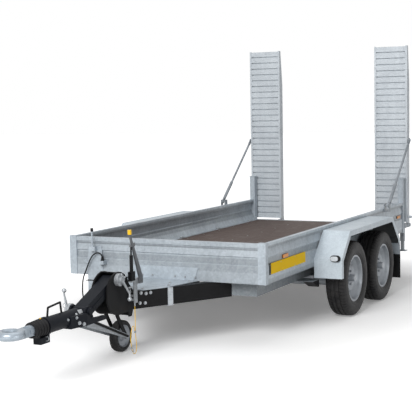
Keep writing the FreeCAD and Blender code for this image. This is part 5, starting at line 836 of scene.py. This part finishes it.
amber_lens = painted_finish("amber_lens", (0.78, 0.24, 0.005), (0.88, 0.32, 0.01), rough=0.3, coat=0.15)
white_lens = painted_finish("white_lens", (0.52, 0.56, 0.60), (0.66, 0.70, 0.73), rough=0.15, coat=0.8)
for side, side_name in SIDES.items():
    lamp_form("front_lamp_base_" + side_name, at(side * LAMP_X, LAMP_Y, LAMP_Z), ACROSS, -BACK, LAMP_BASE,
              black_plastic, bevel=0.002)
    lens_middle = at(side * (LAMP_X - LENS_INSET), LAMP_Y - LENS_AHEAD, LAMP_Z)
    lens = lamp_form("front_lamp_lens_" + side_name, lens_middle, ACROSS, -BACK, LAMP_LENS,
                     white_lens, bevel=0.004)
    if side_name == "left":
        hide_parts("front_lamps")
    for marker, marker_y in enumerate(MARKER_PLACES):
        lamp_form("marker_base_" + side_name + "_" + str(marker), at(side * MARKER_X, marker_y, MARKER_Z),
                  BACK, ACROSS * side, MARKER_BASE, black_plastic, bevel=0.001)
dress(amber_lens, "side_markers")

# Rear lamps
# Each rear lamp is a black moulded housing with three clear-coated lens fields.
# They are for turning, braking and reversing, and the housing is screwed to the rear beam.

REAR_LAMP_X, REAR_LAMP_Y, REAR_LAMP_Z = 405, 3660, 522
REAR_HOUSING = (105, 40, 9, 15)
FIELD_AHEAD, FIELD_HALF_TALL, FIELD_CORNER, FIELD_THICK = 14, 34, 5, 11
red_lens = painted_finish("red_lens", (0.40, 0.010, 0.008), (0.52, 0.016, 0.012), rough=0.15, coat=0.8)
# Each field: (place across the housing, half its width, finish, slot).
REAR_FIELDS = ((66, 32, amber_lens, "amber_lens"), (0, 31, red_lens, "red_lens"),
               (-66, 32, white_lens, "white_lens"))
for side, side_name in SIDES.items():
    housing = lamp_form("rear_lamp_housing_" + side_name, at(side * REAR_LAMP_X, REAR_LAMP_Y, REAR_LAMP_Z),
                        ACROSS, BACK, REAR_HOUSING, black_plastic, bevel=0.002)
    if side_name == "left":
        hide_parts("rear_lamps")
    for field, (offset, half_wide, finish, slot) in enumerate(REAR_FIELDS):
        lamp_form("rear_lens_" + str(field) + "_" + side_name,
                  at(side * (REAR_LAMP_X + offset), REAR_LAMP_Y + FIELD_AHEAD, REAR_LAMP_Z), ACROSS, BACK,
                  (half_wide, FIELD_HALF_TALL, FIELD_CORNER, FIELD_THICK), finish, bevel=0.003)

# Floor
# A pale, matt studio floor that turns to plain white away from the trailer and keeps its shadow.
# From below it is clear, so that the underside can be seen.

FLOOR_HALF = 60.0
FLOOR_SHADE = ((0.50, 0.50, 0.50), (0.52, 0.52, 0.52))
FLOOR_WHITE = (1.0, 1.0, 1.0)
# The white is lifted little inside an oval round the trailer and fully outside it, in metres.
OVAL_SCALE, OVAL_SHIFT = (1.0, 0.6, 1.0), (0.0, -0.42, 0.0)
OVAL_INSIDE, OVAL_OUTSIDE = 1.4, 2.7
LIFT_INSIDE, LIFT_OUTSIDE = 0.18, 0.85


def seen_rays(tree, *kinds):
    """One for the rays of these kinds, and zero for the light on the object."""
    rays = add_node(tree, "ShaderNodeLightPath").outputs
    seen = rays[kinds[0]]
    for kind in kinds[1:]:
        seen = add_node(tree, "ShaderNodeMath", {"operation": "MAXIMUM"}, i0=seen, i1=rays[kind]).outputs[0]
    return seen


def floor_finish():
    """White where it is seen, half grey where it throws light back, clear from below."""
    finish, tree, shader = new_finish("pale_floor")
    place = own_space(tree)
    seen = seen_rays(tree, "Is Camera Ray", "Is Glossy Ray")
    plain = mix_colour(tree, cloud_noise(tree, place, 3.0, 4.0), *FLOOR_SHADE)
    oval = stretched(tree, place, OVAL_SCALE, OVAL_SHIFT)
    reach = add_node(tree, "ShaderNodeVectorMath", {"operation": "LENGTH"}, i0=oval).outputs["Value"]
    lift = add_node(tree, "ShaderNodeMapRange", {"interpolation_type": "SMOOTHSTEP"}, Value=reach,
                    From_Min=OVAL_INSIDE, From_Max=OVAL_OUTSIDE,
                    To_Min=LIFT_INSIDE, To_Max=LIFT_OUTSIDE).outputs["Result"]
    seen_lift = add_node(tree, "ShaderNodeMath", {"operation": "MULTIPLY"}, i0=seen, i1=lift).outputs[0]
    set_inputs(tree, shader, Base_Color=mix_colour(tree, seen, plain, FLOOR_WHITE), Roughness=0.9,
               Specular_IOR_Level=0.1, Emission_Color=(*FLOOR_WHITE, 1.0), Emission_Strength=seen_lift)
    underside = add_node(tree, "ShaderNodeNewGeometry").outputs["Backfacing"]
    clear = add_node(tree, "ShaderNodeBsdfTransparent").outputs[0]
    surface = add_node(tree, "ShaderNodeMixShader", i0=underside, i1=shader.outputs[0], i2=clear).outputs[0]
    set_inputs(tree, tree.nodes["Material Output"], Surface=surface)
    return finish


floor_mesh = bpy.data.meshes.new("studio_floor")
floor_mesh.from_pydata([(-FLOOR_HALF, -FLOOR_HALF, 0), (FLOOR_HALF, -FLOOR_HALF, 0),
                        (FLOOR_HALF, FLOOR_HALF, 0), (-FLOOR_HALF, FLOOR_HALF, 0)], [], [(0, 1, 2, 3)])
floor_mesh.materials.append(floor_finish())
floor = bpy.data.objects.new("studio_floor", floor_mesh)
bpy.context.scene.collection.objects.link(floor)

# Studio light
# A dim, even sky that looks white, and three soft lamps.
# The key lamp stands ahead of the trailer, the side lamp low on its left, the top lamp over the bed.

SKY_LIGHT, SKY_SEEN = 0.27, 1.0


def studio_lamp(name, place, target, width, height, power):
    """A rectangular soft lamp that faces a target; sizes in metres, power in watts."""
    lamp = bpy.data.lights.new(name, "AREA")
    lamp.shape = "RECTANGLE"
    lamp.size = width
    lamp.size_y = height
    lamp.energy = power
    holder = bpy.data.objects.new(name, lamp)
    holder.location = place
    holder.rotation_euler = (Vector(target) - Vector(place)).to_track_quat("-Z", "Y").to_euler()
    bpy.context.scene.collection.objects.link(holder)


world = bpy.data.worlds.new("studio_world")
world.use_nodes = True
bpy.context.scene.world = world
sky = world.node_tree
sky_seen = seen_rays(sky, "Is Camera Ray", "Is Transmission Ray", "Is Glossy Ray")
sky_strength = add_node(sky, "ShaderNodeMapRange", Value=sky_seen, To_Min=SKY_LIGHT, To_Max=SKY_SEEN)
set_inputs(sky, sky.nodes["Background"], Color=(1, 1, 1, 1), Strength=sky_strength.outputs["Result"])
studio_lamp("key_lamp", (0.9, -9.5, 5.5), (0, 0, 0.5), width=4.0, height=4.0, power=830.0)
studio_lamp("side_lamp", (7.5, -3.5, 1.3), (0.9, -0.2, 0.6), width=3.5, height=1.6, power=75.0)
studio_lamp("top_lamp", (-0.5, 0.8, 7.5), (0, 0.5, 0), width=6.0, height=8.0, power=130.0)

# Camera
# It stands where the photograph was taken from, ahead of the trailer and to its left, at eye level.
# Its three angles are in radians.

CAMERA_PLACE = Vector((4.0767, -8.2154, 1.8106))
CAMERA_YAW, CAMERA_PITCH, CAMERA_ROLL = 0.465037, -0.0901205, -0.0185522
CAMERA_LENS = 94.56
camera = bpy.data.cameras.new("photo_camera")
camera.lens = CAMERA_LENS
camera.sensor_width = 36.0
camera.clip_end = 200.0
viewer = bpy.data.objects.new("photo_camera", camera)
aim = Vector((-math.sin(CAMERA_YAW) * math.cos(CAMERA_PITCH), math.cos(CAMERA_YAW) * math.cos(CAMERA_PITCH),
              math.sin(CAMERA_PITCH)))
level = Vector((math.cos(CAMERA_YAW), math.sin(CAMERA_YAW), 0.0))
upright = level.cross(aim)
right = level * math.cos(CAMERA_ROLL) + upright * math.sin(CAMERA_ROLL)
camera_up = upright * math.cos(CAMERA_ROLL) - level * math.sin(CAMERA_ROLL)
turn = Matrix((right, camera_up, -aim)).transposed()
viewer.matrix_world = Matrix.Translation(CAMERA_PLACE) @ turn.to_4x4()
bpy.context.scene.collection.objects.link(viewer)
bpy.context.scene.camera = viewer
bpy.context.scene.view_settings.view_transform = "Standard"
